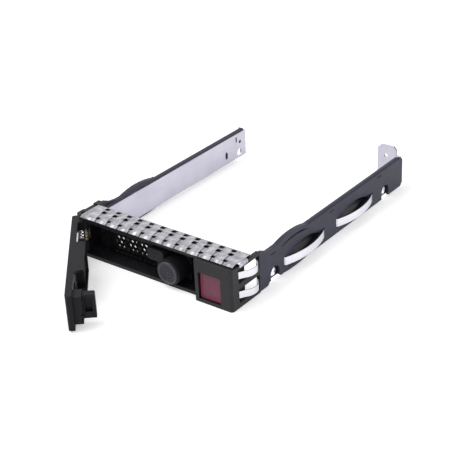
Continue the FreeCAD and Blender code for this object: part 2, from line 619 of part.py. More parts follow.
def bezel_outline():
    """Plan of the bezel: set-back recess, full-depth block and side walls."""
    left = -HALF_WIDTH
    return [(PIVOT_X, RECESS_SETBACK), (BLOCK_LEFT_X, RECESS_SETBACK), (BLOCK_LEFT_X, 0),
            (HALF_WIDTH, 0), (HALF_WIDTH, BEZEL_DEPTH), (SIDE_WALL_X, BEZEL_DEPTH),
            (SIDE_WALL_X, FACE_DEPTH), (left + WALL, FACE_DEPTH), (left + WALL, BEZEL_DEPTH),
            (left, BEZEL_DEPTH), (left, PIVOT_Y + RECESS_SETBACK),
            (PIVOT_X - KNUCKLE_RADIUS, PIVOT_Y + RECESS_SETBACK), (PIVOT_X - KNUCKLE_RADIUS, PIVOT_Y)]


def bezel_shell():
    """Outer shell with its recess, button chamber and side cavity hollowed out."""
    corners = [Vector(x, y, 0) for x, y in bezel_outline()]
    edges = [Part.LineSegment(a, b).toShape() for a, b in zip(corners, corners[1:])]
    turn = KNUCKLE_RADIUS * math.sqrt(0.5)
    edges.append(arc((PIVOT_X - KNUCKLE_RADIUS, PIVOT_Y, 0), (PIVOT_X - turn, PIVOT_Y - turn, 0),
                     (PIVOT_X, PIVOT_Y - KNUCKLE_RADIUS, 0)))
    shell = Part.Face(Part.Wire(edges)).extrude(Vector(0, 0, BEZEL_HEIGHT))
    shell = rounded(shell, BLOCK_CORNER_RADIUS, (0, 0, 1),
                    lambda p: p.x > HALF_WIDTH - SEAT_GAP and p.y < SEAT_GAP)
    inner_left = WALL - HALF_WIDTH
    cavity_left = CHAMBER_RIGHT_X + CHAMBER_WALL
    behind = FACE_DEPTH + OVERCUT
    recess = box(inner_left, RECESS_RIGHT_X, -OVERCUT, BACK_WALL_Y, WALL, ROOF_Z)
    pivot_side = box(-HALF_WIDTH - OVERCUT, inner_left + OVERCUT, -OVERCUT, PIVOT_Y + RECESS_SETBACK,
                     WALL, ROOF_Z)
    chamber = box(BLOCK_LEFT_X, CHAMBER_RIGHT_X, BLOCK_FRONT_WALL, BACK_WALL_Y, WALL, ROOF_Z)
    cavity = box(cavity_left, SIDE_WALL_X, BLOCK_FRONT_WALL, behind, WALL, ROOF_Z)
    rear_corner = box(cavity_left, SIDE_WALL_X, FACE_DEPTH - REAR_CORNER_LENGTH, behind, -OVERCUT, ROOF_Z)
    return shell.cut([recess, pivot_side, chamber, cavity, rear_corner])


def bezel_openings():
    """Every hole through the bezel's walls."""
    cuts = [cylinder((PIVOT_X, PIVOT_Y, -OVERCUT), (0, 0, 1), PIN_RADIUS + SEAT_GAP,
                     BEZEL_HEIGHT + 2 * OVERCUT)]
    cuts.append(box(BUTTON_LEFT_X - SIDE_CLEARANCE, BUTTON_LEFT_X + BUTTON_WIDTH + SIDE_CLEARANCE,
                    -OVERCUT, BLOCK_FRONT_WALL + SIDE_CLEARANCE, WALL, BUTTON_Z[1] + SIDE_CLEARANCE))
    cuts.append(box(RECESS_RIGHT_X - OVERCUT, BLOCK_LEFT_X + OVERCUT, LATCH_Y[0] - SIDE_CLEARANCE,
                    LATCH_Y[1] + SIDE_CLEARANCE,
                    LATCH_Z[0] - SLIDE_GAP, LATCH_Z[1] + SIDE_CLEARANCE))
    for z0, z1 in SIDE_WINDOWS_Z:
        cuts.append(box(SIDE_WALL_X - OVERCUT, HALF_WIDTH + OVERCUT, SIDE_WINDOW_FRONT, SIDE_WINDOW_END,
                        z0, z1))
    left, right = BACK_WINDOWS_X
    pitch = (right - left + BACK_WINDOW_RIB) / BACK_WINDOW_COUNT
    for index in range(BACK_WINDOW_COUNT):
        x0 = left + index * pitch
        cuts.append(box(x0, x0 + pitch - BACK_WINDOW_RIB, BACK_WALL_Y - OVERCUT, FACE_DEPTH + OVERCUT,
                        *BACK_WINDOW_Z))
    return cuts


def bezel_details():
    """Pegs, shelves and ears that stand on the shell."""
    shelf = box(BLOCK_LEFT_X, CHAMBER_RIGHT_X, LATCH_Y[0] - SLIDE_GAP, BACK_WALL_Y,
                LATCH_Z[0] - LATCH_SHELF, LATCH_Z[0] - SLIDE_GAP)
    backing = box(BLOCK_LEFT_X, WEDGE_X[0] - OVERCUT, LATCH_Y[1] + SLIDE_GAP, BACK_WALL_Y,
                  LATCH_Z[0] - SLIDE_GAP, LATCH_Z[1])
    coil_peg = cylinder((BUTTON_COIL_X, BACK_WALL_Y - COIL_PEG_LENGTH, BUTTON_COIL_Z), (0, 1, 0),
                        COIL_PEG_RADIUS, COIL_PEG_LENGTH)
    ear = box(PIVOT_X - KNUCKLE_RADIUS, PIVOT_X + KNUCKLE_RADIUS, RECESS_SETBACK, PIVOT_Y + EAR_REACH,
              BEZEL_HEIGHT, BEZEL_HEIGHT + EAR_RISE)
    ear = rounded(ear, EAR_RADIUS, (0, 0, 1), lambda p: p.y < RECESS_SETBACK + SEAT_GAP)
    brow = box(PIVOT_X + EAR_REACH, VENT_X[1], RECESS_SETBACK, RECESS_SETBACK + BROW_DEPTH,
               ROOF_Z - BROW_DROP, ROOF_Z)
    rear_ear = box(-HALF_WIDTH, REAR_EAR_WIDTH - HALF_WIDTH, FACE_DEPTH + EMI_THICK + REAR_EAR_GAP,
                   DRIVE_FRONT_Y - DRIVE_SIDE_GAP, ROOF_Z, BEZEL_HEIGHT + REAR_EAR_RISE)
    pip = cylinder((HALF_WIDTH - BLOCK_PIP_INSET[0], -SLIDE_GAP, BEZEL_HEIGHT - BLOCK_PIP_INSET[1]),
                   (0, 1, 0), BLOCK_PIP_RADIUS, BLOCK_FRONT_WALL / 2)
    return [shelf, backing, coil_peg, ear, brow, rear_ear, pip] + board_posts()


def board_posts():
    """The stepped posts that carry the lamp board on the back wall."""
    posts = []
    for x, z in board_pegs():
        for start, radius in ((BOARD_FRONT_Y + PEG_SET_BACK, PEG_RADIUS),
                              (BOARD_FRONT_Y + BOARD_THICK, PEG_RADIUS + PEG_SEAT_WALL)):
            posts.append(cylinder((x, start, z), (0, 1, 0), radius, BACK_WALL_Y - start))
    return posts


def board_pegs():
    """Where the two locating pegs pass through the lamp board."""
    return ((BOARD_X[0] + PEG_INSET_LEFT, BOARD_Z[1] - PEG_INSET_LEFT),
            (BOARD_X[1] - PEG_INSET_RIGHT, BOARD_Z[0] + PEG_INSET_RIGHT))


def bezel_frame():
    body = bezel_shell().cut(bezel_openings()).fuse(bezel_details())
    body = body.cut(cylinder((PIVOT_X, PIVOT_Y, ROOF_Z), (0, 0, 1), PIN_RADIUS + SEAT_GAP,
                             WALL + EAR_RISE + OVERCUT))
    return body.removeSplitter()


def vent_panel():
    """A pierced panel: slots along the top and staggered six-sided holes below."""
    panel = box(VENT_X[0], VENT_X[1], VENT_FRONT_Y, VENT_FRONT_Y + VENT_THICK, WALL, ROOF_Z)
    front = VENT_FRONT_Y - OVERCUT
    through = VENT_THICK + 2 * OVERCUT
    width, height = VENT_SLOT
    cuts = []
    for index in range(VENT_SLOT_COUNT):
        x1 = VENT_X[1] - VENT_SLOT_INSET - index * VENT_SLOT_PITCH
        cuts.append(box(x1 - width, x1, front, front + through, VENT_SLOT_Z - height / 2,
                        VENT_SLOT_Z + height / 2))
    radius = HEX_ACROSS / math.sqrt(3)
    for row in range(HEX_ROWS):
        stagger = 0.5 * (row % 2)
        for column in range(HEX_COLUMNS - row % 2):
            x = VENT_X[1] - HEX_RIGHT_MARGIN - (column + stagger) * HEX_PITCH_X
            z = HEX_BOTTOM_Z + row * HEX_PITCH_Z
            corners = [Vector(x + radius * math.sin(k * math.pi / 3), front,
                              z + radius * math.cos(k * math.pi / 3)) for k in range(6)]
            hexagon = Part.Face(Part.makePolygon(corners + corners[:1]))
            cuts.append(hexagon.extrude(Vector(0, through, 0)))
    return panel.cut(cuts)


# ---- Status lamp ----

def lamp_tube(outer, inner, y0, y1):
    """A tube round the lamp's axis."""
    body = cylinder((LAMP_X, y0, LAMP_Z), (0, 1, 0), outer, y1 - y0)
    return body.cut(cylinder((LAMP_X, y0 - OVERCUT, LAMP_Z), (0, 1, 0), inner, y1 - y0 + 2 * OVERCUT))


def lamp_housing():
    """A collar round the lamp with a rounded block at its upper left."""
    inner = LAMP_COLLAR_RADIUS - LAMP_COLLAR_WALL
    block = box(*LAMP_BLOCK_X, RECESS_SETBACK, BOARD_FRONT_Y, *LAMP_BLOCK_Z)
    block = rounded(block, LAMP_BLOCK_RADIUS, (0, 1, 0), lambda p: True)
    collar = lamp_tube(LAMP_COLLAR_RADIUS, inner, RECESS_SETBACK - LAMP_COLLAR_PROUD, BOARD_FRONT_Y)
    bore = cylinder((LAMP_X, -OVERCUT, LAMP_Z), (0, 1, 0), inner, BOARD_FRONT_Y + 2 * OVERCUT)
    return block.fuse(collar).cut(bore).removeSplitter()


def lamp_ring():
    """The translucent ring inside the collar, with a chamfered front edge."""
    outer = LAMP_COLLAR_RADIUS - LAMP_COLLAR_WALL - RUNNING_GAP
    ring = lamp_tube(outer, outer - LAMP_RING_WALL, LAMP_FRONT_Y, BOARD_FRONT_Y)
    rim = [edge for edge in ring.Edges if edge.CenterOfMass.y < LAMP_FRONT_Y + SEAT_GAP]
    return ring.makeChamfer(LAMP_RING_CHAMFER, rim)


def lamp_cap():
    """The centre disc, with turned grooves, on a stem that reaches the board."""
    radius = LAMP_COLLAR_RADIUS - LAMP_COLLAR_WALL - LAMP_RING_WALL - 2 * RUNNING_GAP
    front = LAMP_FRONT_Y + LAMP_CAP_SET_BACK
    disc = cylinder((LAMP_X, front, LAMP_Z), (0, 1, 0), radius, LAMP_CAP_THICK)
    stem = cylinder((LAMP_X, front, LAMP_Z), (0, 1, 0), LAMP_STEM_RADIUS, BOARD_FRONT_Y - front)
    grooves = [lamp_tube(outer, outer - LAMP_GROOVE_WIDTH, front - SLIDE_GAP, front + LAMP_GROOVE_DEPTH)
               for outer in LAMP_GROOVE_RADII]
    return disc.fuse(stem).cut(grooves).removeSplitter()


def lamp_board():
    """The small circuit board behind the lamp, with two parts soldered on it."""
    back_y = BOARD_FRONT_Y + BOARD_THICK
    board = box(*BOARD_X, BOARD_FRONT_Y, back_y, *BOARD_Z)
    chips = []
    for index in range(2):
        left = LAMP_X - CHIP_FROM_LAMP - index * CHIP_PITCH
        chips.append(box(left, left + CHIP_WIDTH, back_y, back_y + CHIP_THICK, *CHIP_Z))
    holes = [cylinder((x, 0, z), (0, 1, 0), PEG_RADIUS + RUNNING_GAP, FACE_DEPTH) for x, z in board_pegs()]
    return board.fuse(chips).cut(holes)


# ---- Shielding ----

def emi_profile():
    """The centre line of the strip in side view, from its rear hook to its front lip."""
    x = EMI_LEFT_X
    rear = EMI_REAR_Y
    bend = EMI_REAR_BEND
    low = BEZEL_HEIGHT - SLIDE_GAP
    high = BEZEL_HEIGHT + SIDE_CLEARANCE
    turn_y = EMI_FRONT_Y + EMI_LIP_BEND
    turn_z = EMI_TOP_Z - SIDE_CLEARANCE / 2
    return [line((x, rear, ROOF_Z - EMI_HOOK_DROP), (x, rear, low)),
            arc((x, rear, low), (x, rear - bend * (1 - math.sqrt(0.5)), high - SLIDE_GAP),
                (x, rear - bend, high)),
            arc((x, rear - bend, high), (x, EMI_CREST_Y, EMI_TOP_Z), (x, turn_y, turn_z)),
            arc((x, turn_y, turn_z), (x, EMI_FRONT_Y + EMI_LIP_BEND / 4, EMI_TOP_Z - 0.4),
                (x, EMI_FRONT_Y, EMI_LIP_Z))]


def emi_strip():
    """Sprung fingers along the top edge, parted by stepped slits, with an end tab on the right."""
    strip = sheet(emi_profile(), -EMI_THICK, (EMI_RIGHT_X - EMI_LEFT_X, 0, 0))
    cuts = []
    for index in range(1, FINGER_COUNT):
        cuts += finger_cuts(EMI_LEFT_X + EMI_END_MARGIN + index * FINGER_PITCH)
    low = ROOF_Z - OVERCUT
    high = EMI_TOP_Z + OVERCUT
    left_inset, right_inset = STRIP_HOLE_INSETS
    for x in (EMI_LEFT_X + left_inset, EMI_RIGHT_X - right_inset):
        cuts.append(cylinder((x, STRIP_HOLE_Y, low), (0, 0, 1), STRIP_HOLE_RADIUS, high - low))
    cuts.append(box(SIDE_WALL_X - SIDE_CLEARANCE, HALF_WIDTH, FACE_DEPTH - SLIDE_GAP, FACE_DEPTH + OVERCUT,
                    low, high))
    corner_x, corner_y = STRIP_CORNER
    cuts.append(prism_z([(EMI_LEFT_X - OVERCUT, FACE_DEPTH - corner_y),
                         (EMI_LEFT_X + corner_x, FACE_DEPTH + OVERCUT),
                         (EMI_LEFT_X - OVERCUT, FACE_DEPTH + OVERCUT)], low, high))
    return strip.cut(cuts).fuse(end_tab()).removeSplitter()


def finger_cuts(x):
    """One stepped slit between two fingers, with its three windows and the notch in the lip."""
    low = BEZEL_HEIGHT - EMI_LIP_BEND
    high = EMI_TOP_Z + OVERCUT
    half = SLIT_WIDTH / 2
    front_x = x - SLIT_STEP
    return [box(x - REAR_HOLE_HALF, x + REAR_HOLE_HALF, *REAR_HOLE_Y, low, high),
            box(x - MIDDLE_HOLE_HALF, x + MIDDLE_HOLE_HALF, *MIDDLE_HOLE_Y, low, high),
            box(front_x - FRONT_HOLE_HALF, front_x + FRONT_HOLE_HALF, *FRONT_HOLE_Y, low, high),
            box(x - half, x + half, SLIT_STEP_Y, REAR_HOLE_Y[1], low, high),
            box(front_x, x + half, SLIT_STEP_Y - SLIT_STEP_LENGTH, SLIT_STEP_Y, low, high),
            box(front_x - half, front_x + half, -OVERCUT, SLIT_STEP_Y, low, high),
            box(front_x - LIP_NOTCH, front_x + LIP_NOTCH, -OVERCUT, EMI_FRONT_Y + SLIT_STEP_LENGTH,
                low, high)]


def end_tab():
    """The tab of the strip that folds down over the right side wall."""
    y = END_TAB_FRONT_Y
    far_x = END_TAB_X + EMI_THICK
    low_z = END_TAB_Z - END_TAB_BEND
    edges = [line((EMI_RIGHT_X - END_TAB_OVERLAP, y, END_TAB_Z), (END_TAB_X - EMI_THICK, y, END_TAB_Z)),
             arc((END_TAB_X - EMI_THICK, y, END_TAB_Z), (END_TAB_X + SLIDE_GAP, y, END_TAB_Z - 0.15),
                 (far_x, y, low_z)),
             line((far_x, y, low_z), (far_x, y, BEZEL_HEIGHT - END_TAB_DROP))]
    return sheet(edges, EMI_THICK, (0, END_TAB_LENGTH, 0))


def ground_clip():
    """A spine inside the side wall with two bowed fingers that stand out of its windows."""
    inner = SIDE_WALL_X - CLIP_THICK - SEAT_GAP
    pieces = [box(inner, inner + CLIP_THICK, BLOCK_FRONT_WALL + CLIP_SPINE_INSET,
                  SIDE_WINDOW_FRONT + CLIP_ROOT, SIDE_WINDOWS_Z[0][0] + CLIP_MARGIN,
                  SIDE_WINDOWS_Z[1][1] - CLIP_TOP_MARGIN)]
    for z0, z1 in SIDE_WINDOWS_Z:
        z = z0 + CLIP_MARGIN
        root = (inner, SIDE_WINDOW_FRONT, z)
        knee = (HALF_WIDTH + CLIP_KNEE[0], SIDE_WINDOW_FRONT + CLIP_KNEE[1], z)
        crest = (HALF_WIDTH + CLIP_CREST[0], SIDE_WINDOW_END - CLIP_CREST[1], z)
        tip = (HALF_WIDTH - CLIP_END[0], SIDE_WINDOW_END - CLIP_END[1], z)
        edges = [line((inner, SIDE_WINDOW_FRONT - OVERCUT, z), root), line(root, knee),
                 arc(knee, crest, tip)]
        pieces.append(sheet(edges, CLIP_THICK, (0, 0, z1 - z0 - CLIP_MARGIN - CLIP_TOP_MARGIN)))
    return pieces[0].fuse(pieces[1:]).removeSplitter()


# ---- Lever ----

def lever_closed():
    """The lever in its closed place: face plate, hollow grip, catch and knuckles."""
    plate = box(LEVER_LEFT_X, LEVER_TIP_X, 0, LEVER_PLATE, LEVER_BOTTOM_Z, LEVER_TOP_Z)
    plate = rounded(plate, LEVER_EDGE_RADIUS, (0, 0, 1), lambda p: p.y < SEAT_GAP)
    body = plate.fuse([grip(), catch()] + knuckles())
    lamp_hole = cylinder((LAMP_X, -OVERCUT, LAMP_Z), (0, 1, 0), LAMP_HOLE_RADIUS, LEVER_PLATE + OVERCUT)
    bore = cylinder((PIVOT_X, PIVOT_Y, 0), (0, 0, 1), PIN_RADIUS + RUNNING_GAP, BEZEL_HEIGHT)
    return body.cut([lamp_hole, bore]).removeSplitter()


def grip():
    """The ribbed hollow behind the face plate and the scooped flange that runs on from its top."""
    x0, x1 = GRIP_X
    front = LEVER_PLATE - SLIDE_GAP
    body = box(x0, x1, front, GRIP_DEPTH, GRIP_BOTTOM_Z, LEVER_TOP_Z)
    hollow = box(x0 + GRIP_WALL, x1 + OVERCUT, LEVER_PLATE, GRIP_DEPTH + OVERCUT,
                 GRIP_BOTTOM_Z + GRIP_WALL, LEVER_TOP_Z - FLANGE_THICK)
    ribs = []
    for index in range(1, GRIP_RIB_COUNT + 1):
        left = x0 + index * (x1 - x0) / (GRIP_RIB_COUNT + 1)
        ribs.append(box(left, left + GRIP_RIB, front, GRIP_DEPTH - GRIP_RIB,
                        GRIP_BOTTOM_Z + GRIP_WALL / 2, LEVER_TOP_Z - FLANGE_THICK / 2))
    flange = box(x1 - GRIP_RIB, FLANGE_END_X, front, GRIP_DEPTH, LEVER_TOP_Z - FLANGE_THICK, LEVER_TOP_Z)
    scoop = cylinder((FLANGE_END_X + SCOOP_OFFSET, GRIP_DEPTH, 0), (0, 0, 1), SCOOP_RADIUS, BEZEL_HEIGHT)
    scoop = scoop.common(box(x0, LEVER_TIP_X, LEVER_PLATE, FACE_DEPTH, 0, BEZEL_HEIGHT))
    return body.cut(hollow).fuse(ribs + [flange]).cut(scoop)


def catch():
    """The block near the lever's tip and the notched hook that the latch's tooth holds."""
    x0, x1 = CATCH_BLOCK_X
    z0, z1 = CATCH_Z
    block = box(x0, x1, LEVER_PLATE - SLIDE_GAP, CATCH_BLOCK_DEPTH, z0 - CATCH_SHOULDER, z1 + CATCH_SHOULDER)
    grooves = [box(x0 - OVERCUT, x1 + OVERCUT, CATCH_BLOCK_DEPTH - CATCH_GROOVE, CATCH_BLOCK_DEPTH + OVERCUT,
                   z, z + CATCH_GROOVE) for z in (z0 + CATCH_GROOVE, z0 + 4 * CATCH_GROOVE)]
    hook = box(x0, x0 + CATCH_THICK, CATCH_BLOCK_DEPTH - CATCH_GROOVE, CATCH_REACH, z0, z1)
    hook = rounded(hook, CATCH_NOSE_RADIUS, (0, 0, 1),
                   lambda p: p.y > CATCH_REACH - SEAT_GAP and p.x < x0 + SEAT_GAP)
    notch = box(x0 + CATCH_THICK - CATCH_NOTCH_DEPTH, x0 + CATCH_THICK + OVERCUT, LATCH_Y[0] - 2 * SLIDE_GAP,
                LATCH_Y[1] + 2 * SLIDE_GAP, LATCH_Z[0] - SIDE_CLEARANCE, LATCH_Z[1] + SIDE_CLEARANCE)
    return block.cut(grooves).fuse(hook.cut(notch))


def knuckles():
    """Two eyes round the pivot pin, joined to the face plate, with the coil between them."""
    eyes = []
    spring_low, spring_high = LEVER_COIL_Z
    for z0, z1 in ((WALL + SIDE_CLEARANCE, spring_low - KNUCKLE_COIL_GAP),
                   (spring_high + KNUCKLE_COIL_GAP, LEVER_TOP_Z)):
        eye = cylinder((PIVOT_X, PIVOT_Y, z0), (0, 0, 1), KNUCKLE_RADIUS, z1 - z0)
        eyes.append(eye.fuse(box(*KNUCKLE_ARM_X, LEVER_PLATE - SLIDE_GAP, PIVOT_Y, z0, z1)))
    return eyes


def lever_cam_plate():
    """The metal plate on the lever's inner face, turned to the open place with it."""
    plate = box(*CAM_PLATE_X, LEVER_PLATE, LEVER_PLATE + CAM_PLATE_THICK, *CAM_PLATE_Z)
    return opened(rounded(plate, CAM_PLATE_RADIUS, (0, 1, 0), lambda p: p.x < CAM_PLATE_X[0] + SEAT_GAP))


def pivot_pin():
    """The pin through the bezel's lips and the lever's knuckles."""
    return cylinder((PIVOT_X, PIVOT_Y, PIN_BOTTOM_Z), (0, 0, 1), PIN_RADIUS,
                    BEZEL_HEIGHT + PIN_PROUD - PIN_BOTTOM_Z)


def lever_spring():
    """A torsion coil on the pivot pin: one leg on the bezel's side wall, one on the open lever."""
    low, high = LEVER_COIL_Z
    end_angle = 270.0 - OPEN_ANGLE
    turns = LEVER_COIL_TURNS + (end_angle - 180.0) / 360.0
    wound = coil(LEVER_COIL_RADIUS, LEVER_COIL_WIRE, (high - low) / turns, high - low)
    wound.rotate(Vector(0, 0, 0), Vector(0, 0, 1), 180)
    wound.translate(Vector(PIVOT_X, PIVOT_Y, low))
    start = (PIVOT_X - LEVER_COIL_RADIUS, PIVOT_Y, low)
    short_leg = cylinder(start, (0, 1, 0), LEVER_COIL_WIRE, RECESS_SETBACK - SLIDE_GAP)
    angle = math.radians(end_angle)
    end = (PIVOT_X + LEVER_COIL_RADIUS * math.cos(angle), PIVOT_Y + LEVER_COIL_RADIUS * math.sin(angle), high)
    long_leg = cylinder(end, (-math.sin(angle), math.cos(angle), 0), LEVER_COIL_WIRE, LEVER_COIL_LEG)
    return wound.fuse([short_leg, long_leg])


# ---- Release button and latch ----

def release_button():
    """A push button with side walls, a retaining flange and the wedge that drives the latch."""
    x0 = BUTTON_LEFT_X
    x1 = BUTTON_LEFT_X + BUTTON_WIDTH
    z0, z1 = BUTTON_Z
    face_end = BUTTON_RECESS + BUTTON_FACE
    face = box(x0, x1, BUTTON_RECESS, face_end, z0, z1)
    dish = box(x0 + BUTTON_RIM, x1 - BUTTON_RIM, BUTTON_RECESS - OVERCUT, BUTTON_RECESS + BUTTON_DISH,
               z0 + BUTTON_RIM, z1 - BUTTON_RIM)
    end = BUTTON_RECESS + BUTTON_DEPTH
    left_wall = box(x0, x0 + BUTTON_SIDE, face_end, end, z0, z1)
    right_wall = box(x1 - BUTTON_SIDE, x1, face_end, end, z0, z1)
    leaf_room = box(x1 - BUTTON_SIDE - OVERCUT, x1 + OVERCUT, face_end, end + OVERCUT,
                    LATCH_Z[0] + LATCH_LEAF_INSET - SIDE_CLEARANCE,
                    LATCH_Z[1] - LATCH_LEAF_INSET + SIDE_CLEARANCE)
    left, right = WEDGE_X
    wedge = prism_z([(left, face_end - SLIDE_GAP), (right, face_end - SLIDE_GAP), (right, WEDGE_LINE - right),
                     (WEDGE_LINE - WEDGE_TIP_Y, WEDGE_TIP_Y), (left, WEDGE_TIP_Y)], *WEDGE_Z)
    body = face.cut(dish).fuse([left_wall, right_wall.cut(leaf_room), wedge] + button_flanges())
    return body.removeSplitter()


def button_flanges():
    """The three ledges that keep the button behind the front wall of its block."""
    x0 = BUTTON_LEFT_X
    x1 = BUTTON_LEFT_X + BUTTON_WIDTH
    z0, z1 = BUTTON_Z
    y0 = BLOCK_FRONT_WALL + SIDE_CLEARANCE
    y1 = y0 + BUTTON_FLANGE_THICK
    return [box(x0 - BUTTON_FLANGE, x0, y0, y1, z0, z1),
            box(x1, x1 + BUTTON_FLANGE, y0, y1, z0, z1),
            box(x0 - BUTTON_FLANGE, x1 + BUTTON_FLANGE, y0, y1, z1, z1 + BUTTON_FLANGE)]


def button_spring():
    """The coil between the button and the bezel's back wall."""
    start = BUTTON_RECESS + BUTTON_FACE + BUTTON_COIL_WIRE + RUNNING_GAP
    length = BACK_WALL_Y - BUTTON_COIL_WIRE - RUNNING_GAP - start
    wound = coil(BUTTON_COIL_RADIUS, BUTTON_COIL_WIRE, length / BUTTON_COIL_TURNS, length)
    wound.rotate(Vector(0, 0, 0), Vector(1, 0, 0), -90)
    wound.translate(Vector(BUTTON_COIL_X, start, BUTTON_COIL_Z))
    return wound


def latch_slide():
    """A plate that slides across the chamber: tooth on the left, wedge window in the middle."""
    y0, y1 = LATCH_Y
    over = SLIDE_GAP
    plate = prism_z([(TOOTH_TIP_X + TOOTH_SLOPE, y0), (LATCH_RIGHT_X, y0), (LATCH_RIGHT_X, y1),
                     (TOOTH_TIP_X, y1), (TOOTH_TIP_X, y1 - TOOTH_LAND)], *LATCH_Z)
    window = prism_z([(LATCH_WINDOW_LEFT_X, y0 - over), (LATCH_LINE - y0 + over, y0 - over),
                      (LATCH_LINE - y1 - over, y1 + over), (LATCH_WINDOW_LEFT_X, y1 + over)],
                     WEDGE_Z[0] - SIDE_CLEARANCE, WEDGE_Z[1] + SIDE_CLEARANCE)
    return plate.cut(window)


def latch_spring():
    """A bowed leaf between the latch and the chamber's right wall."""
    middle = (LATCH_Y[0] + LATCH_Y[1]) / 2
    z = LATCH_Z[0] + LATCH_LEAF_INSET
    end_x = CHAMBER_RIGHT_X - RUNNING_GAP - SIDE_CLEARANCE
    bow = arc((end_x, middle - LATCH_LEAF_HALF, z), (LATCH_RIGHT_X + SIDE_CLEARANCE, middle, z),
              (end_x, middle + LATCH_LEAF_HALF, z))
    return sheet([bow], LATCH_LEAF_THICK, (0, 0, LATCH_HEIGHT - 2 * LATCH_LEAF_INSET))


def build():
    """Every named piece of the caddy."""
    pieces = {
        "bezel_frame": bezel_frame(),
        "vent_panel": vent_panel(),
        "lamp_housing": lamp_housing(),
        "lamp_ring": lamp_ring(),
        "lamp_cap": lamp_cap(),
        "lamp_board": lamp_board(),
        "emi_strip": emi_strip(),
        "ground_clip": ground_clip(),
        "right_rail": rail(RIGHT_RAIL_END_Y),
        "left_rail": mirrored(rail(LEFT_RAIL_END_Y)),
        "right_liner": right_liner(),
        "left_liner": mirrored(liner(LEFT_RAIL_END_Y)),
        "pivot_pin": pivot_pin(),
        "lever": opened(lever_closed()),
        "lever_cam_plate": lever_cam_plate(),
        "lever_spring": lever_spring(),
        "release_button": release_button(),
        "button_spring": button_spring(),
        "latch_slide": latch_slide(),
        "latch_spring": latch_spring(),
    }
    for front, place in zip(LEAF_FRONTS_Y, ("front", "rear")):
        pieces["right_leaf_" + place] = leaf_spring(front)
        pieces["left_leaf_" + place] = mirrored(leaf_spring(front))
    return pieces


def main():
    os.makedirs("parts", exist_ok=True)
    for name, shape in build().items():
        if not shape.isValid() or not shape.Solids:
            raise ValueError(name + " is not a sound solid")
        shape.exportStep("parts/" + name + ".step")
        print(name, len(shape.Solids), "solid", round(shape.Volume, 2), "mm3")


main()
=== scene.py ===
import json
import logging
import math
from dataclasses import dataclass, replace
from enum import Enum

import bpy
from mathutils import Matrix, Vector


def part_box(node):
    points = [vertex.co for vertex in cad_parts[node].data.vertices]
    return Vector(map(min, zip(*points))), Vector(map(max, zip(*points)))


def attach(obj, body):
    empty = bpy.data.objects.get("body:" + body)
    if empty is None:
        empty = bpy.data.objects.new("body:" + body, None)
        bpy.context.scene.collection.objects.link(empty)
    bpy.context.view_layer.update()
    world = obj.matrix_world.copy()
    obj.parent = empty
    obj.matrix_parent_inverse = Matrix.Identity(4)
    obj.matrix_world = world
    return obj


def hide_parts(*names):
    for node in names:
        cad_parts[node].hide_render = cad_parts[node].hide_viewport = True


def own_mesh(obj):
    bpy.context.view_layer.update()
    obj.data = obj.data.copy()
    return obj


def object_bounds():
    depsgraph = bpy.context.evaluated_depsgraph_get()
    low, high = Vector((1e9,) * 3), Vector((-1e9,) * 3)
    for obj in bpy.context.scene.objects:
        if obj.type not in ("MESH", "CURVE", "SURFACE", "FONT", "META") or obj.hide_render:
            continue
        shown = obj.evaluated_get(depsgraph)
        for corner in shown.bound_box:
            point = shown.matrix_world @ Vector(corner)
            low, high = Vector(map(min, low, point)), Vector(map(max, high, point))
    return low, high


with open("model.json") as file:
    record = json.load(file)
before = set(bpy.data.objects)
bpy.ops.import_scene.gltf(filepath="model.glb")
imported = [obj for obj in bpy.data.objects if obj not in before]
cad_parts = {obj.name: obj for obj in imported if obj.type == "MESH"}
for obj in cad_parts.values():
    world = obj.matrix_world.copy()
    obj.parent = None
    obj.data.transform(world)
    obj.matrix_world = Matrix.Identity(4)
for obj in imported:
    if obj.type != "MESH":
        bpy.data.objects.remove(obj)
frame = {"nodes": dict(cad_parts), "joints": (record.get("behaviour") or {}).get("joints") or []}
CAD_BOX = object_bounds()

# Looks for a hot swap drive caddy: moulded rails lined with sheet metal, a slim bezel with a
# shielding strip, a hinged lever standing open and a red release button.

# Blender works in metres, and most sizes here are in millimetres.
MM = 0.001
# A Mix node's sockets share their names, so its colour ones are found by number.
COLOUR_SHARE, COLOUR_A, COLOUR_B, MIXED_COLOUR = 0, 6, 7, 2
# So do those of a Trim Curve node, where these two take lengths.
TRIM_START, TRIM_END = 4, 5
# Most values of a noise texture lie between these two.
NOISE_LOW, NOISE_HIGH = 0.3, 0.7
# A Brick texture's rows are this high at a scale of 1.
BRICK_ROW = 0.25
# In metres and longer than any fold line here: a cut that ends there runs to the end of its line.
PAST_THE_END = 1.0
log = logging.getLogger("caddy")


# ---- Small helpers ----

def linear(hex_colour: str) -> tuple[float, float, float, float]:
    """Turns an sRGB hex colour into linear values.

    Args:
        hex_colour: Six hex digits, such as "3C3C40".

    Returns:
        Red, green, blue and alpha for a shader socket.
    """
    parts = [int(hex_colour[k:k + 2], 16) / 255 for k in (0, 2, 4)]
    red, green, blue = (c / 12.92 if c <= 0.04045 else ((c + 0.055) / 1.055) ** 2.4 for c in parts)
    return (red, green, blue, 1.0)


def add_node(tree: bpy.types.NodeTree, kind: str, inputs: dict | None = None, **settings) -> bpy.types.Node:
    """Adds a node with its settings and links.

    Args:
        tree: The tree to add to.
        kind: The node's type name.
        inputs: A value or an output socket for each input, by name or number.
        settings: The node's own properties.

    Returns:
        The new node.
    """
    node = tree.nodes.new(kind)
    for key, value in settings.items():
        setattr(node, key, value)
    for key, value in (inputs or {}).items():
        if isinstance(value, bpy.types.NodeSocket):
            tree.links.new(value, node.inputs[key])
        else:
            node.inputs[key].default_value = value
    return node


def box_mm(node: str) -> tuple[Vector, ...]:
    """Gives a CAD node's lowest and highest corners in millimetres."""
    return tuple(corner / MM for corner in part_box(node))


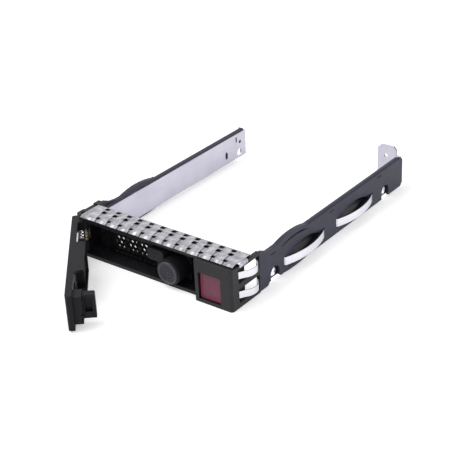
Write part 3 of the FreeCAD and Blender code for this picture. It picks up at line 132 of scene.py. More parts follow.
def joint_end(name: str) -> float:
    """Gives the far limit of a joint: degrees for a hinge, metres for a slide."""
    joint = next(each for each in frame["joints"] if each["name"] == name)
    return joint["range_deg" if joint["type"] == "hinge" else "range_m"][1]


def new_material(name: str) -> tuple[bpy.types.Material, bpy.types.NodeTree]:
    """Makes an empty node material.

    Args:
        name: The material's name.

    Returns:
        The material and its cleared tree.
    """
    material = bpy.data.materials.new(name)
    material.use_nodes = True
    material.node_tree.nodes.clear()
    return material, material.node_tree


def dress(node: str, material: bpy.types.Material) -> None:
    """Gives a CAD node its finish.

    Args:
        node: The CAD node's name.
        material: The finish it takes.
    """
    shown = frame["nodes"][node]
    if not shown.material_slots:
        shown.data.materials.append(material)
    for place in shown.material_slots:
        place.material = material
    log.info("dressed %s in %s", node, material.name)


def start_tree(name: str, sizes: tuple[str, ...], counts: tuple[str, ...] = (),
               shapes: tuple[str, ...] = ()) -> tuple[bpy.types.NodeTree, bpy.types.NodeOutputs]:
    """Starts a Geometry Nodes tree with named inputs.

    Args:
        name: The tree's name.
        sizes: The names of the inputs that take a size.
        counts: The names of those that take a whole number.
        shapes: The names of those that take geometry.

    Returns:
        The tree and the values that its inputs give.
    """
    tree = bpy.data.node_groups.new(name, "GeometryNodeTree")
    for labels, kind in ((shapes, "NodeSocketGeometry"), (sizes, "NodeSocketFloat"),
                         (counts, "NodeSocketInt")):
        for label in labels:
            tree.interface.new_socket(label, in_out="INPUT", socket_type=kind)
    tree.interface.new_socket("Geometry", in_out="OUTPUT", socket_type="NodeSocketGeometry")
    return tree, add_node(tree, "NodeGroupInput").outputs


def end_tree(tree: bpy.types.NodeTree, shape: bpy.types.NodeSocket, finish: bpy.types.Material) -> None:
    """Ends a Geometry Nodes tree with real geometry that carries its finish.

    Args:
        tree: The tree.
        shape: The geometry that it has made.
        finish: The finish that the geometry takes.
    """
    real = add_node(tree, "GeometryNodeRealizeInstances", {0: shape})
    painted = add_node(tree, "GeometryNodeSetMaterial", {"Geometry": real.outputs[0], "Material": finish})
    add_node(tree, "NodeGroupOutput", {0: painted.outputs[0]})


def grow(name: str, tree: bpy.types.NodeTree, sizes: dict[str, object],
         path: tuple[Vector, ...] = ()) -> bpy.types.Object:
    """Runs a Geometry Nodes tree once and keeps its result as a plain mesh.

    Args:
        name: The new piece's name.
        tree: The tree, whose named inputs take the sizes.
        sizes: A value for each named input.
        path: The corners of a line that the tree follows, where it has one.

    Returns:
        The finished piece, at the origin, with no modifier left.
    """
    line = bpy.data.meshes.new(name + "_holder")
    line.from_pydata(path, [(k, k + 1) for k in range(len(path) - 1)], [])
    holder = bpy.data.objects.new(name + "_holder", line)
    bpy.context.scene.collection.objects.link(holder)
    modifier = holder.modifiers.new("grow", "NODES")
    modifier.node_group = tree
    for item in tree.interface.items_tree:
        if item.item_type == "SOCKET" and item.in_out == "INPUT" and item.name in sizes:
            modifier[item.identifier] = sizes[item.name]
    bpy.context.view_layer.update()
    grown = holder.evaluated_get(bpy.context.evaluated_depsgraph_get())
    mesh = bpy.data.meshes.new_from_object(grown)
    mesh.name = name
    bpy.data.objects.remove(holder)
    piece = bpy.data.objects.new(name, mesh)
    bpy.context.scene.collection.objects.link(piece)
    return piece


# ---- Finishes ----

class Grain(Enum):
    """How a mould's surface was finished, as the depth of its texture in millimetres."""

    SPARK_ERODED = 0.035
    SATIN = 0.018
    POLISHED = 0.004


class Rolled(Enum):
    """The way that sheet metal was rolled: the stretch of its hairlines along each axis."""

    ALONG_Y = (1.0, 0.02, 1.0)
    ALONG_X = (0.02, 1.0, 1.0)


@dataclass(frozen=True)
class MouldedPlastic:
    """An injection moulded plastic. The mould's fine texture spreads highlights into a soft sheen.

    Attributes:
        name: The material's name.
        colour: Its colour as hex digits.
        rubbed: Its colour where handling has rubbed it.
        roughness: How dull it is in the middle.
        grain: The texture that its mould gives it.
        smoother: How far it goes below that roughness.
        rougher: How far it goes above it.
        grain_mm: How coarse the grain is drawn.
        blotch_mm: How large the rubbed blotches are.
        rubbed_share: How far a blotch goes towards the rubbed colour.
        edge_mm: How round the edges look.
        ior: Its index of refraction.
        sheen_level: How strong its highlights are.
        side: The colour painted on side walls as light coming through the clear plastic, or empty.
    """

    name: str
    colour: str
    rubbed: str
    roughness: float
    grain: Grain = Grain.SATIN
    smoother: float = 0.05
    rougher: float = 0.08
    grain_mm: float = 0.55
    blotch_mm: float = 9.0
    rubbed_share: float = 0.75
    edge_mm: float = 0.22
    ior: float = 1.53
    sheen_level: float = 0.4
    side: str = ""

    def build(self) -> bpy.types.Material:
        """Makes the material."""
        material, tree = new_material(self.name)
        place = add_node(tree, "ShaderNodeTexCoord").outputs["Object"]
        # The real texture is about 0.05 mm; it is drawn at half a millimetre so that it shows.
        fine = add_node(tree, "ShaderNodeTexNoise",
                        {"Vector": place, "Scale": 1 / (self.grain_mm * MM), "Detail": 3.0,
                         "Roughness": 0.6})
        broad = add_node(tree, "ShaderNodeTexNoise",
                         {"Vector": place, "Scale": 1 / (self.blotch_mm * MM), "Detail": 4.0})
        share = add_node(tree, "ShaderNodeMapRange",
                         {"Value": broad.outputs["Fac"], "From Min": 0.38, "From Max": 0.72,
                          "To Min": 0.0, "To Max": self.rubbed_share})
        tint = add_node(tree, "ShaderNodeMix",
                        {COLOUR_SHARE: share.outputs["Result"], COLOUR_A: linear(self.colour),
                         COLOUR_B: linear(self.rubbed)}, data_type="RGBA")
        # Side walls get painted light in a brighter colour than the front.
        if self.side:
            tint = self.paint_light_on_sides(tree, tint.outputs[MIXED_COLOUR])
        dull = add_node(tree, "ShaderNodeMapRange",
                        {"Value": fine.outputs["Fac"], "From Min": NOISE_LOW, "From Max": NOISE_HIGH,
                         "To Min": self.roughness - self.smoother, "To Max": self.roughness + self.rougher})
        edge = add_node(tree, "ShaderNodeBevel", {"Radius": self.edge_mm * MM}, samples=4)
        bump = add_node(tree, "ShaderNodeBump",
                        {"Height": fine.outputs["Fac"], "Normal": edge.outputs["Normal"],
                         "Distance": self.grain.value * MM, "Strength": 0.7})
        shader = add_node(tree, "ShaderNodeBsdfPrincipled",
                          {"Base Color": tint.outputs[MIXED_COLOUR], "Roughness": dull.outputs["Result"],
                           "IOR": self.ior, "Specular IOR Level": self.sheen_level,
                           "Normal": bump.outputs["Normal"]})
        add_node(tree, "ShaderNodeOutputMaterial", {"Surface": shader.outputs["BSDF"]})
        return material

    def paint_light_on_sides(self, tree: bpy.types.NodeTree, face: bpy.types.NodeSocket) -> bpy.types.Node:
        """Paints light on the walls that run back from the front face: a brighter colour for light coming
        through clear plastic.

        Args:
            tree: The material's tree.
            face: The colour of the front face.

        Returns:
            A Mix node that holds both colours.
        """
        normal = add_node(tree, "ShaderNodeTexCoord").outputs["Normal"]
        forward = add_node(tree, "ShaderNodeSeparateXYZ", {"Vector": normal}).outputs["Y"]
        facing = add_node(tree, "ShaderNodeMath", {0: forward}, operation="ABSOLUTE")
        # A face that looks along Y keeps the front's colour; a rounded edge blends into the walls' painted
        # light.
        share = add_node(tree, "ShaderNodeMapRange",
                         {"Value": facing.outputs[0], "From Min": 0.4, "From Max": 0.95,
                          "To Min": 1.0, "To Max": 0.0})
        return add_node(tree, "ShaderNodeMix",
                        {COLOUR_SHARE: share.outputs["Result"], COLOUR_A: face,
                         COLOUR_B: linear(self.side)}, data_type="RGBA")


@dataclass(frozen=True)
class SheetMetal:
    """Rolled or drawn metal, bare or tin plated. Its fine hairlines smear what it reflects.

    Attributes:
        name: The material's name.
        colour: Its colour as hex digits.
        tarnish: Its colour where it has dulled in clouds.
        roughness: How dull it is in the middle.
        rolled: The way that its hairlines run.
        smoother: How far it goes below that roughness.
        rougher: How far it goes above it.
        hairline_mm: How far apart the hairlines are drawn.
        hairline_depth_mm: How deep they are.
        edge_mm: How round the edges look.
        cloud_mm: How large the clouds are.
        painted_shade: The colour of the painted shade on its outer faces, which stands for the shadow
            between rail and liner, or empty.
        painted_shade_from_mm: How far from the caddy's middle the painted shade begins.
    """

    name: str
    colour: str
    tarnish: str
    roughness: float
    rolled: Rolled = Rolled.ALONG_Y
    smoother: float = 0.06
    rougher: float = 0.1
    hairline_mm: float = 0.4
    hairline_depth_mm: float = 0.006
    edge_mm: float = 0.08
    cloud_mm: float = 14.0
    painted_shade: str = ""
    painted_shade_from_mm: float = 10.0

    def build(self) -> bpy.types.Material:
        """Makes the material."""
        material, tree = new_material(self.name)
        place = add_node(tree, "ShaderNodeTexCoord").outputs["Object"]
        stretch = add_node(tree, "ShaderNodeMapping", {"Vector": place, "Scale": self.rolled.value})
        # Real hairlines are about 0.03 mm apart; they are drawn 0.4 mm apart so that they show.
        lines = add_node(tree, "ShaderNodeTexNoise",
                         {"Vector": stretch.outputs["Vector"], "Scale": 1 / (self.hairline_mm * MM),
                          "Detail": 2.0})
        cloud = add_node(tree, "ShaderNodeTexNoise",
                         {"Vector": place, "Scale": 1 / (self.cloud_mm * MM), "Detail": 3.0})
        share = add_node(tree, "ShaderNodeMapRange",
                         {"Value": cloud.outputs["Fac"], "From Min": 0.35, "From Max": 0.7})
        tint = add_node(tree, "ShaderNodeMix",
                        {COLOUR_SHARE: share.outputs["Result"], COLOUR_A: linear(self.colour),
                         COLOUR_B: linear(self.tarnish)}, data_type="RGBA")
        dull = add_node(tree, "ShaderNodeMapRange",
                        {"Value": lines.outputs["Fac"], "From Min": NOISE_LOW, "From Max": NOISE_HIGH,
                         "To Min": self.roughness - self.smoother, "To Max": self.roughness + self.rougher})
        edge = add_node(tree, "ShaderNodeBevel", {"Radius": self.edge_mm * MM}, samples=4)
        bump = add_node(tree, "ShaderNodeBump",
                        {"Height": lines.outputs["Fac"], "Normal": edge.outputs["Normal"],
                         "Distance": self.hairline_depth_mm * MM, "Strength": 0.6})
        shader = add_node(tree, "ShaderNodeBsdfPrincipled",
                          {"Base Color": tint.outputs[MIXED_COLOUR], "Roughness": dull.outputs["Result"],
                           "Metallic": 1.0, "Normal": bump.outputs["Normal"]})
        # The outer faces take painted shade: a dark colour that stands for the shadow between the rail and
        # the liner.
        if self.painted_shade:
            self.paint_shade_on_back(tree, shader, tint.outputs[MIXED_COLOUR])
        add_node(tree, "ShaderNodeOutputMaterial", {"Surface": shader.outputs["BSDF"]})
        return material

    def paint_shade_on_back(self, tree: bpy.types.NodeTree, shader: bpy.types.Node,
                       bare: bpy.types.NodeSocket) -> None:
        """Paints shade on the faces that look away from the caddy's middle: a dark colour with no metal,
        for the shadow between rail and liner.

        Args:
            tree: The material's tree.
            shader: The metal's shader.
            bare: The colour of the bare metal.
        """
        source = add_node(tree, "ShaderNodeTexCoord").outputs
        place = add_node(tree, "ShaderNodeSeparateXYZ", {"Vector": source["Object"]}).outputs["X"]
        normal = add_node(tree, "ShaderNodeSeparateXYZ", {"Vector": source["Normal"]}).outputs["X"]
        # A face far to one side that also looks that way gives a large product, and an inner face gives a
        # negative one.
        # Only faces past the threshold get the painted shade.
        outward = add_node(tree, "ShaderNodeMath", {0: place, 1: normal}, operation="MULTIPLY")
        share = add_node(tree, "ShaderNodeMath", {0: outward.outputs[0], 1: self.painted_shade_from_mm * MM},
                         operation="GREATER_THAN")
        metal = add_node(tree, "ShaderNodeMath", {0: 1.0, 1: share.outputs[0]}, operation="SUBTRACT")
        shaded_colour = add_node(tree, "ShaderNodeMix",
                           {COLOUR_SHARE: share.outputs[0], COLOUR_A: bare, COLOUR_B: linear(self.painted_shade)},
                           data_type="RGBA")
        tree.links.new(shaded_colour.outputs[MIXED_COLOUR], shader.inputs["Base Color"])
        tree.links.new(metal.outputs[0], shader.inputs["Metallic"])


@dataclass(frozen=True)
class CircuitBoard:
    """Glass epoxy board under dark solder mask, with copper tracks that show as faint lighter lines."""

    name: str = "solder_masked_board"
    mask: str = "0A100E"
    track: str = "131D18"
    roughness: float = 0.38
    ior: float = 1.5
    track_pitch_mm: float = 0.225
    track_depth_mm: float = 0.03

    def build(self) -> bpy.types.Material:
        """Makes the material."""
        material, tree = new_material(self.name)
        place = add_node(tree, "ShaderNodeTexCoord").outputs["Object"]
        # The mortar stands for the tracks, which are as close together as on a real board.
        tracks = add_node(tree, "ShaderNodeTexBrick",
                          {"Vector": place, "Scale": BRICK_ROW / (self.track_pitch_mm * MM),
                           "Mortar Size": 0.12, "Color1": linear(self.mask), "Color2": linear(self.mask),
                           "Mortar": linear(self.track)})
        bump = add_node(tree, "ShaderNodeBump",
                        {"Height": tracks.outputs["Fac"], "Distance": self.track_depth_mm * MM})
        shader = add_node(tree, "ShaderNodeBsdfPrincipled",
                          {"Base Color": tracks.outputs["Color"], "Roughness": self.roughness,
                           "IOR": self.ior, "Normal": bump.outputs["Normal"]})
        add_node(tree, "ShaderNodeOutputMaterial", {"Surface": shader.outputs["BSDF"]})
        return material


# ABS from a spark eroded mould scatters light, so the bezel stays an even dark grey with no glint.
CHARCOAL = MouldedPlastic("charcoal_abs_moulded", "0A0A10", "121219", 0.5, Grain.SPARK_ERODED,
                          sheen_level=0.36)
# A near-black copy of the bezel's ABS hardly answers the lamps: painted shade that makes the recess look
# deep.
RECESS_SHADED_ABS = MouldedPlastic("recess_shaded_abs_moulded", "060608", "0B0B0E", 0.6, Grain.SPARK_ERODED,
                            sheen_level=0.15)
# Glass filled nylon leaves the mould with a satin skin: the rails look bluish and paler than the bezel.
RAIL_GREY = MouldedPlastic("rail_nylon_moulded", "222236", "2C2C40", 0.46, sheen_level=0.34)
# The lever's nylon is nearly black, and only its edges and its top catch some light.
LEVER_GREY = MouldedPlastic("lever_nylon_moulded", "0C0C11", "131319", 0.44, sheen_level=0.16)
# The lamp's housing is a darker copy of the cap's ABS, painted shade for its shaded side, which sets off
# the paler cap in front of it.
LAMP_HOUSING_SHADED = MouldedPlastic("lamp_housing_shaded_abs_moulded", "131318", "1A1A20", 0.5, sheen_level=0.25)
# The cap's satin ABS shows its rings as soft bands of grey.
LAMP_GREY = MouldedPlastic("lamp_cap_abs_moulded", "2A2A34", "34343F", 0.5)
# A polished light guide of smoked polycarbonate gives a sharper glint than the cap inside it.
SMOKED = MouldedPlastic("smoked_polycarbonate_moulded", "34343F", "40404B", 0.34, Grain.POLISHED)
# Burgundy polycarbonate looks muted from the front; a clearer red is painted on its side walls as light
# coming through them.
BURGUNDY = MouldedPlastic("burgundy_polycarbonate_moulded", "631C38", "73314C", 0.3, Grain.POLISHED,
                          side="B0203F")
# Rolled stainless steel mirrors white surroundings as long soft streaks; its outer faces carry painted
# shade for the shadow behind the rails.
LINER_STEEL = SheetMetal("stainless_liner_rolled", "C6C4D0", "B8B6C4", 0.38, painted_shade="101014")
# Tin plate is bright, with small dull clouds where it has been handled.
TIN_STRIP = SheetMetal("tin_plated_strip_rolled", "CFCDD4", "9A989F", 0.34, Rolled.ALONG_X, cloud_mm=2.2)
# Drawn wire keeps a bronze tinge, with one bright line along each turn.
WIRE = SheetMetal("bronzed_spring_wire_drawn", "A39A80", "84795C", 0.3)
# Bare spring steel is the brightest metal here.
SPRING_STEEL = SheetMetal("spring_steel_rolled", "E6E4EC", "D6D4DE", 0.27)
# A ground pin reflects one even upright streak.
PIN_STEEL = SheetMetal("ground_steel_pin", "C4C4CA", "B2B2BA", 0.3)


# ---- Sub-assemblies ----

@dataclass
class Bezel:
    """The front moulding, the pierced panel behind its recess and a fine mesh beside that panel.

    In millimetres, cell is the size of the mesh's hexagons from middle to corner, and web its walls.
    """

    shell: str = "bezel_frame"
    panel: str = "vent_panel"
    cell: float = 0.9
    web: float = 0.55
    columns: int = 3
    rows: int = 8

    def build(self, charcoal: bpy.types.Material) -> None:
        """Dresses both mouldings and adds the mesh.

        Args:
            charcoal: The finish of the bezel.
        """
        dress(self.shell, charcoal)
        # The panel and the mesh in the recess take painted shade, a darker copy of the bezel's plastic.
        recess_shade = RECESS_SHADED_ABS.build()
        dress(self.panel, recess_shade)
        low, high = box_mm(self.panel)
        # Hexagons pack by these steps from column to column and from row to row. Each ring's own line runs
        # half a web inside its hexagon, so that neighbouring rings meet.
        across = 1.5 * self.cell
        rise = math.sqrt(3) * self.cell
        sizes = {"Cell": (rise - self.web) / math.sqrt(3) * MM, "Web": self.web * MM,
                 "Depth": (high.y - low.y) * MM, "Across": across * MM, "Rise": rise * MM,
                 "Rows": self.rows, "Columns": self.columns}
        piece = grow("recess_mesh", self.tree(recess_shade), sizes)
        # The mesh ends where the panel begins and is centred on its height, with every second column
        # half a step up.
        left = low.x - self.columns * across - self.cell / 2
        foot = (low.z + high.z - (self.rows + 0.5) * rise) / 2
        place = Vector((left + self.cell, (low.y + high.y) / 2, foot + rise / 2)) * MM
        piece.data.transform(Matrix.Translation(place) @ Matrix.Rotation(math.pi / 2, 4, "X"))
        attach(piece, "frame")
        log.info("pierced %s with %d columns", piece.name, self.columns)

    def tree(self, finish: bpy.types.Material) -> bpy.types.NodeTree:
        """Builds the honeycomb as Geometry Nodes, lying flat with its first cell at the origin.

        Args:
            finish: The mesh's finish.

        Returns:
            A tree with named inputs for the sizes.
        """
        tree, given = start_tree("honeycomb_piercing", ("Cell", "Web", "Depth", "Across", "Rise"),
                                 ("Rows", "Columns"))
        # One ring is repeated up a column, and the column along a row whose odd places are raised.
        hexagon = add_node(tree, "GeometryNodeCurvePrimitiveCircle",
                           {"Resolution": 6, "Radius": given["Cell"]})
        upright = add_node(tree, "GeometryNodeSetCurveNormal", {"Curve": hexagon.outputs[0]}, mode="Z_UP")
        section = add_node(tree, "GeometryNodeCurvePrimitiveQuadrilateral",
                           {"Width": given["Web"], "Height": given["Depth"]})
        ring = add_node(tree, "GeometryNodeCurveToMesh",
                        {"Curve": upright.outputs[0], "Profile Curve": section.outputs[0]})
        up = add_node(tree, "ShaderNodeCombineXYZ", {"Y": given["Rise"]})
        column = add_node(tree, "GeometryNodeMeshLine", {"Count": given["Rows"], "Offset": up.outputs[0]})
        rings = add_node(tree, "GeometryNodeInstanceOnPoints",
                         {"Points": column.outputs[0], "Instance": ring.outputs[0]})
        along = add_node(tree, "ShaderNodeCombineXYZ", {"X": given["Across"]})
        row = add_node(tree, "GeometryNodeMeshLine",
                       {"Count": given["Columns"], "Offset": along.outputs[0]})
        index = add_node(tree, "GeometryNodeInputIndex")
        odd = add_node(tree, "ShaderNodeMath", {0: index.outputs[0], 1: 2.0}, operation="MODULO")
        shift = add_node(tree, "ShaderNodeMath", {0: odd.outputs[0], 1: given["Rise"]},
                         operation="MULTIPLY")
        half = add_node(tree, "ShaderNodeMath", {0: shift.outputs[0], 1: 0.5}, operation="MULTIPLY")
        raised = add_node(tree, "ShaderNodeCombineXYZ", {"Y": half.outputs[0]})
        staggered = add_node(tree, "GeometryNodeSetPosition",
                             {"Geometry": row.outputs[0], "Offset": raised.outputs[0]})
        comb = add_node(tree, "GeometryNodeInstanceOnPoints",
                        {"Points": staggered.outputs[0], "Instance": rings.outputs[0]})
        end_tree(tree, comb.outputs[0], finish)
        return tree


@dataclass
class StatusLamp:
    """The round lamp: housing, ring, cap and the board behind it."""

    housing: str = "lamp_housing"
    ring: str = "lamp_ring"
    cap: str = "lamp_cap"
    board: str = "lamp_board"

    def build(self) -> None:
        """Dresses each piece of the lamp."""
        # The housing takes painted shade: a darker copy of the cap's plastic.
        dress(self.housing, LAMP_HOUSING_SHADED.build())
        dress(self.ring, SMOKED.build())
        dress(self.cap, LAMP_GREY.build())
        dress(self.board, CircuitBoard().build())


@dataclass(frozen=True)
class Band:
    """A stretch of a finger, in metres: its start and end along the fold, and where its two sides are."""

    name: str
    start: float
    end: float
    left: float
    right: float


@dataclass
class FoldedStrip:
    """Thin sheet folded along a line of corners and cut into equal fingers, each of several bands.

    All sizes are in metres.
    """

    name: str
    corners: tuple[Vector, ...]
    bands: tuple[Band, ...]
    thickness: float
    bend: float
    pitch: float = 0.0
    count: int = 1

    def tree(self, finish: bpy.types.Material) -> bpy.types.NodeTree:
        """Builds the folding and cutting as Geometry Nodes.

        Args:
            finish: The sheet's finish.

        Returns:
            A tree with named inputs for the sizes, which follows the holder's own line.
        """
        marks = tuple(f"{band.name} {mark}" for band in self.bands
                      for mark in ("Start", "End", "Left", "Right"))
        tree, given = start_tree(self.name + "_folding", ("Thickness", "Bend", "Pitch") + marks, ("Count",),
                                 ("Fold Line",))
        # The line gets round corners, and each band is swept along its own stretch of it.
        corners = add_node(tree, "GeometryNodeMeshToCurve", {"Mesh": given["Fold Line"]})
        folded = add_node(tree, "GeometryNodeFilletCurve",
                          {"Curve": corners.outputs[0], "Radius": given["Bend"], "Limit Radius": True,
                           "Count": 6}, mode="POLY")
        upright = add_node(tree, "GeometryNodeSetCurveNormal", {"Curve": folded.outputs[0]}, mode="Z_UP")
        finger = add_node(tree, "GeometryNodeJoinGeometry")
        for band in self.bands:
            left, right = given[band.name + " Left"], given[band.name + " Right"]
            cut = add_node(tree, "GeometryNodeTrimCurve",
                           {0: upright.outputs[0], TRIM_START: given[band.name + " Start"],
                            TRIM_END: given[band.name + " End"]}, mode="LENGTH")
            width = add_node(tree, "ShaderNodeMath", {0: right, 1: left}, operation="SUBTRACT")
            twice = add_node(tree, "ShaderNodeMath", {0: right, 1: left}, operation="ADD")
            middle = add_node(tree, "ShaderNodeMath", {0: twice.outputs[0], 1: 0.5}, operation="MULTIPLY")
            section = add_node(tree, "GeometryNodeCurvePrimitiveQuadrilateral",
                               {"Width": width.outputs[0], "Height": given["Thickness"]})
            swept = add_node(tree, "GeometryNodeCurveToMesh",
                             {"Curve": cut.outputs[0], "Profile Curve": section.outputs[0],
                              "Fill Caps": True})
            place = add_node(tree, "ShaderNodeCombineXYZ", {"X": middle.outputs[0]})
            moved = add_node(tree, "GeometryNodeTransform",
                             {"Geometry": swept.outputs[0], "Translation": place.outputs[0]})
            tree.links.new(moved.outputs[0], finger.inputs[0])
        step = add_node(tree, "ShaderNodeCombineXYZ", {"X": given["Pitch"]})
        row = add_node(tree, "GeometryNodeMeshLine", {"Count": given["Count"], "Offset": step.outputs[0]})
        placed = add_node(tree, "GeometryNodeInstanceOnPoints",
                          {"Points": row.outputs[0], "Instance": finger.outputs[0]})
        end_tree(tree, placed.outputs[0], finish)
        return tree

    def build(self, finish: bpy.types.Material) -> None:
        """Folds the sheet and cuts its fingers.

        Args:
            finish: The sheet's finish.
        """
        sizes = {"Thickness": self.thickness, "Bend": self.bend, "Pitch": self.pitch, "Count": self.count}
        for band in self.bands:
            sizes |= {band.name + " Start": band.start, band.name + " End": band.end,
                      band.name + " Left": band.left, band.name + " Right": band.right}
        piece = grow(self.name, self.tree(finish), sizes, self.corners)
        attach(piece, "frame")
        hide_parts("emi_strip")
        log.info("folded %s with %d fingers", piece.name, self.count)


@dataclass(frozen=True)
class Window:
    """An opening between two fingers: how far back it starts and ends, and half its width."""

    rear: float
    front: float
    half: float


@dataclass
class Shielding:
    """The finger strip over the bezel, with its tab, and the clip at its right side.

    Sizes are in millimetres, and how far back a place lies is measured from the bezel's front face. The
    strip's profile runs from its foot behind over a shoulder, a crest and a brow to its lip in front.
    Windows lie between the fingers, and slits join them from behind to the front: slit_halves are half
    their widths, and lean is how far each moves to the right.
    """

    clip: str = "ground_clip"
    fingers: int = 13
    thickness: float = 0.25
    bend: float = 0.5
    bend_saving: float = 0.25
    end_margin: float = 0.5
    upright_lean: float = 0.02
    shoulder_fall: float = 0.1
    crest: float = 7.0
    brow_run: float = 1.1
    brow_fall: float = 0.12
    lip_inset: float = 0.8
    lip_fall: float = 0.6
    rear_window: Window = Window(11.6, 9.95, 1.05)
    middle_window: Window = Window(9.0, 7.25, 1.1)
    front_window: Window = Window(4.5, 3.1, 0.9)
    slit_halves: tuple[float, float, float] = (0.16, 0.2, 0.25)
    lean: tuple[float, float, float] = (-0.1, 0.5, 1.4)
    tab_width: float = 1.15
    tab_front: float = 4.4
    tab_rear: float = 9.2
    tab_overlap: float = 0.2
    tab_drop: float = 1.2
    tab_bend: float = 0.4

    def build(self, spring: bpy.types.Material) -> None:
        """Folds the strip, with its end fingers and its tab, and dresses the clip.

        Args:
            spring: The spring steel finish.
        """
        dress(self.clip, spring)
        low, high = box_mm("emi_strip")
        half = self.thickness / 2
        rear, top, lip = high.y - half, high.z - half, low.y + self.lip_inset
        edge = high.x - self.tab_width
        pitch = (edge - low.x - 2 * self.end_margin) / self.fingers
        # A section swept along an exactly upright line would twist, so the rear wall leans a little.
        profile = ((rear, low.z), (rear - self.upright_lean, top - self.shoulder_fall), (self.crest, top),
                   (lip + self.brow_run, top - self.brow_fall), (lip, top - self.lip_fall))
        # The rounded shoulder makes the fold line shorter than its corners say.
        reach = rear + top - low.z - self.bend_saving
        middle = self.finger(reach, pitch)
        margin = self.end_margin * MM
        first = tuple(replace(band, left=-margin) for band in middle)
        last = tuple(replace(band, right=pitch * MM + margin) for band in middle)
        finish = TIN_STRIP.build()
        for name, place, bands, count in (("strip_first", 0, first, 1),
                                          ("strip_middle", 1, middle, self.fingers - 2),
                                          ("strip_last", self.fingers - 1, last, 1)):
            x = low.x + self.end_margin + place * pitch
            line = tuple(Vector((x, y, z)) * MM for y, z in profile)
            FoldedStrip(name, line, bands, self.thickness * MM, self.bend * MM, pitch * MM,
                        count).build(finish)
        self.tab(edge, high.x - half, top - self.thickness).build(finish)

    def finger(self, reach: float, pitch: float) -> tuple[Band, ...]:
        """Gives one finger's bands, from the hook behind to the lip in front.

        Args:
            reach: The fold line's length from its foot to above the bezel's front face.
            pitch: From one slit to the next.

        Returns:
            The bands, in metres.
        """
        behind, between, before = self.lean
        bridge, waist, lip = self.slit_halves
        back, middle, front = self.rear_window, self.middle_window, self.front_window
        bands = []
        start = 0.0
        # Each band's front end, its lean to the right and half the gap between it and the next finger's.
        for name, ends_at, lean, gap in (("Hook", back.rear, behind, 0.0),
                                         ("Rear Window", back.front, behind, back.half),
                                         ("Bridge", middle.rear, behind, bridge),
                                         ("Middle Window", middle.front, between, middle.half),
                                         ("Waist", front.rear, between, waist),
                                         ("Front Window", front.front, before, front.half),
                                         ("Lip", None, before, lip)):
            end = PAST_THE_END if ends_at is None else (reach - ends_at) * MM
            bands.append(Band(name, start, end, (lean + gap) * MM, (pitch + lean - gap) * MM))
            start = end
        return tuple(bands)

    def tab(self, edge: float, outer: float, top: float) -> FoldedStrip:
        """Gives the tab that folds down over the right side wall.

        Args:
            edge: Where the strip ends on the right.
            outer: How far right the tab's middle reaches.
            top: The tab's height.

        Returns:
            The tab, not yet built.
        """
        depth = (self.tab_front + self.tab_rear) / 2
        half = (self.tab_rear - self.tab_front) / 2 * MM
        line = tuple(Vector((x, depth, z)) * MM for x, z in ((edge - self.tab_overlap, top),
                                                             (outer - self.upright_lean, top),
                                                             (outer, top - self.tab_drop)))
        band = Band("Tab", 0.0, PAST_THE_END, -half, half)
        return FoldedStrip("strip_tab", line, (band,), self.thickness * MM, self.tab_bend * MM)


@dataclass
class Rails:
    """Both moulded rails with their liners and leaf springs."""

    sides: tuple[str, ...] = ("right", "left")
    places: tuple[str, ...] = ("front", "rear")

    def build(self, spring: bpy.types.Material) -> None:
        """Dresses the rails, the liners and the leaves.

        Args:
            spring: The spring steel finish.
        """
        plastic = RAIL_GREY.build()
        steel = LINER_STEEL.build()
        for side in self.sides:
            dress(side + "_rail", plastic)
            dress(side + "_liner", steel)
            for place in self.places:
                dress(f"{side}_leaf_{place}", spring)


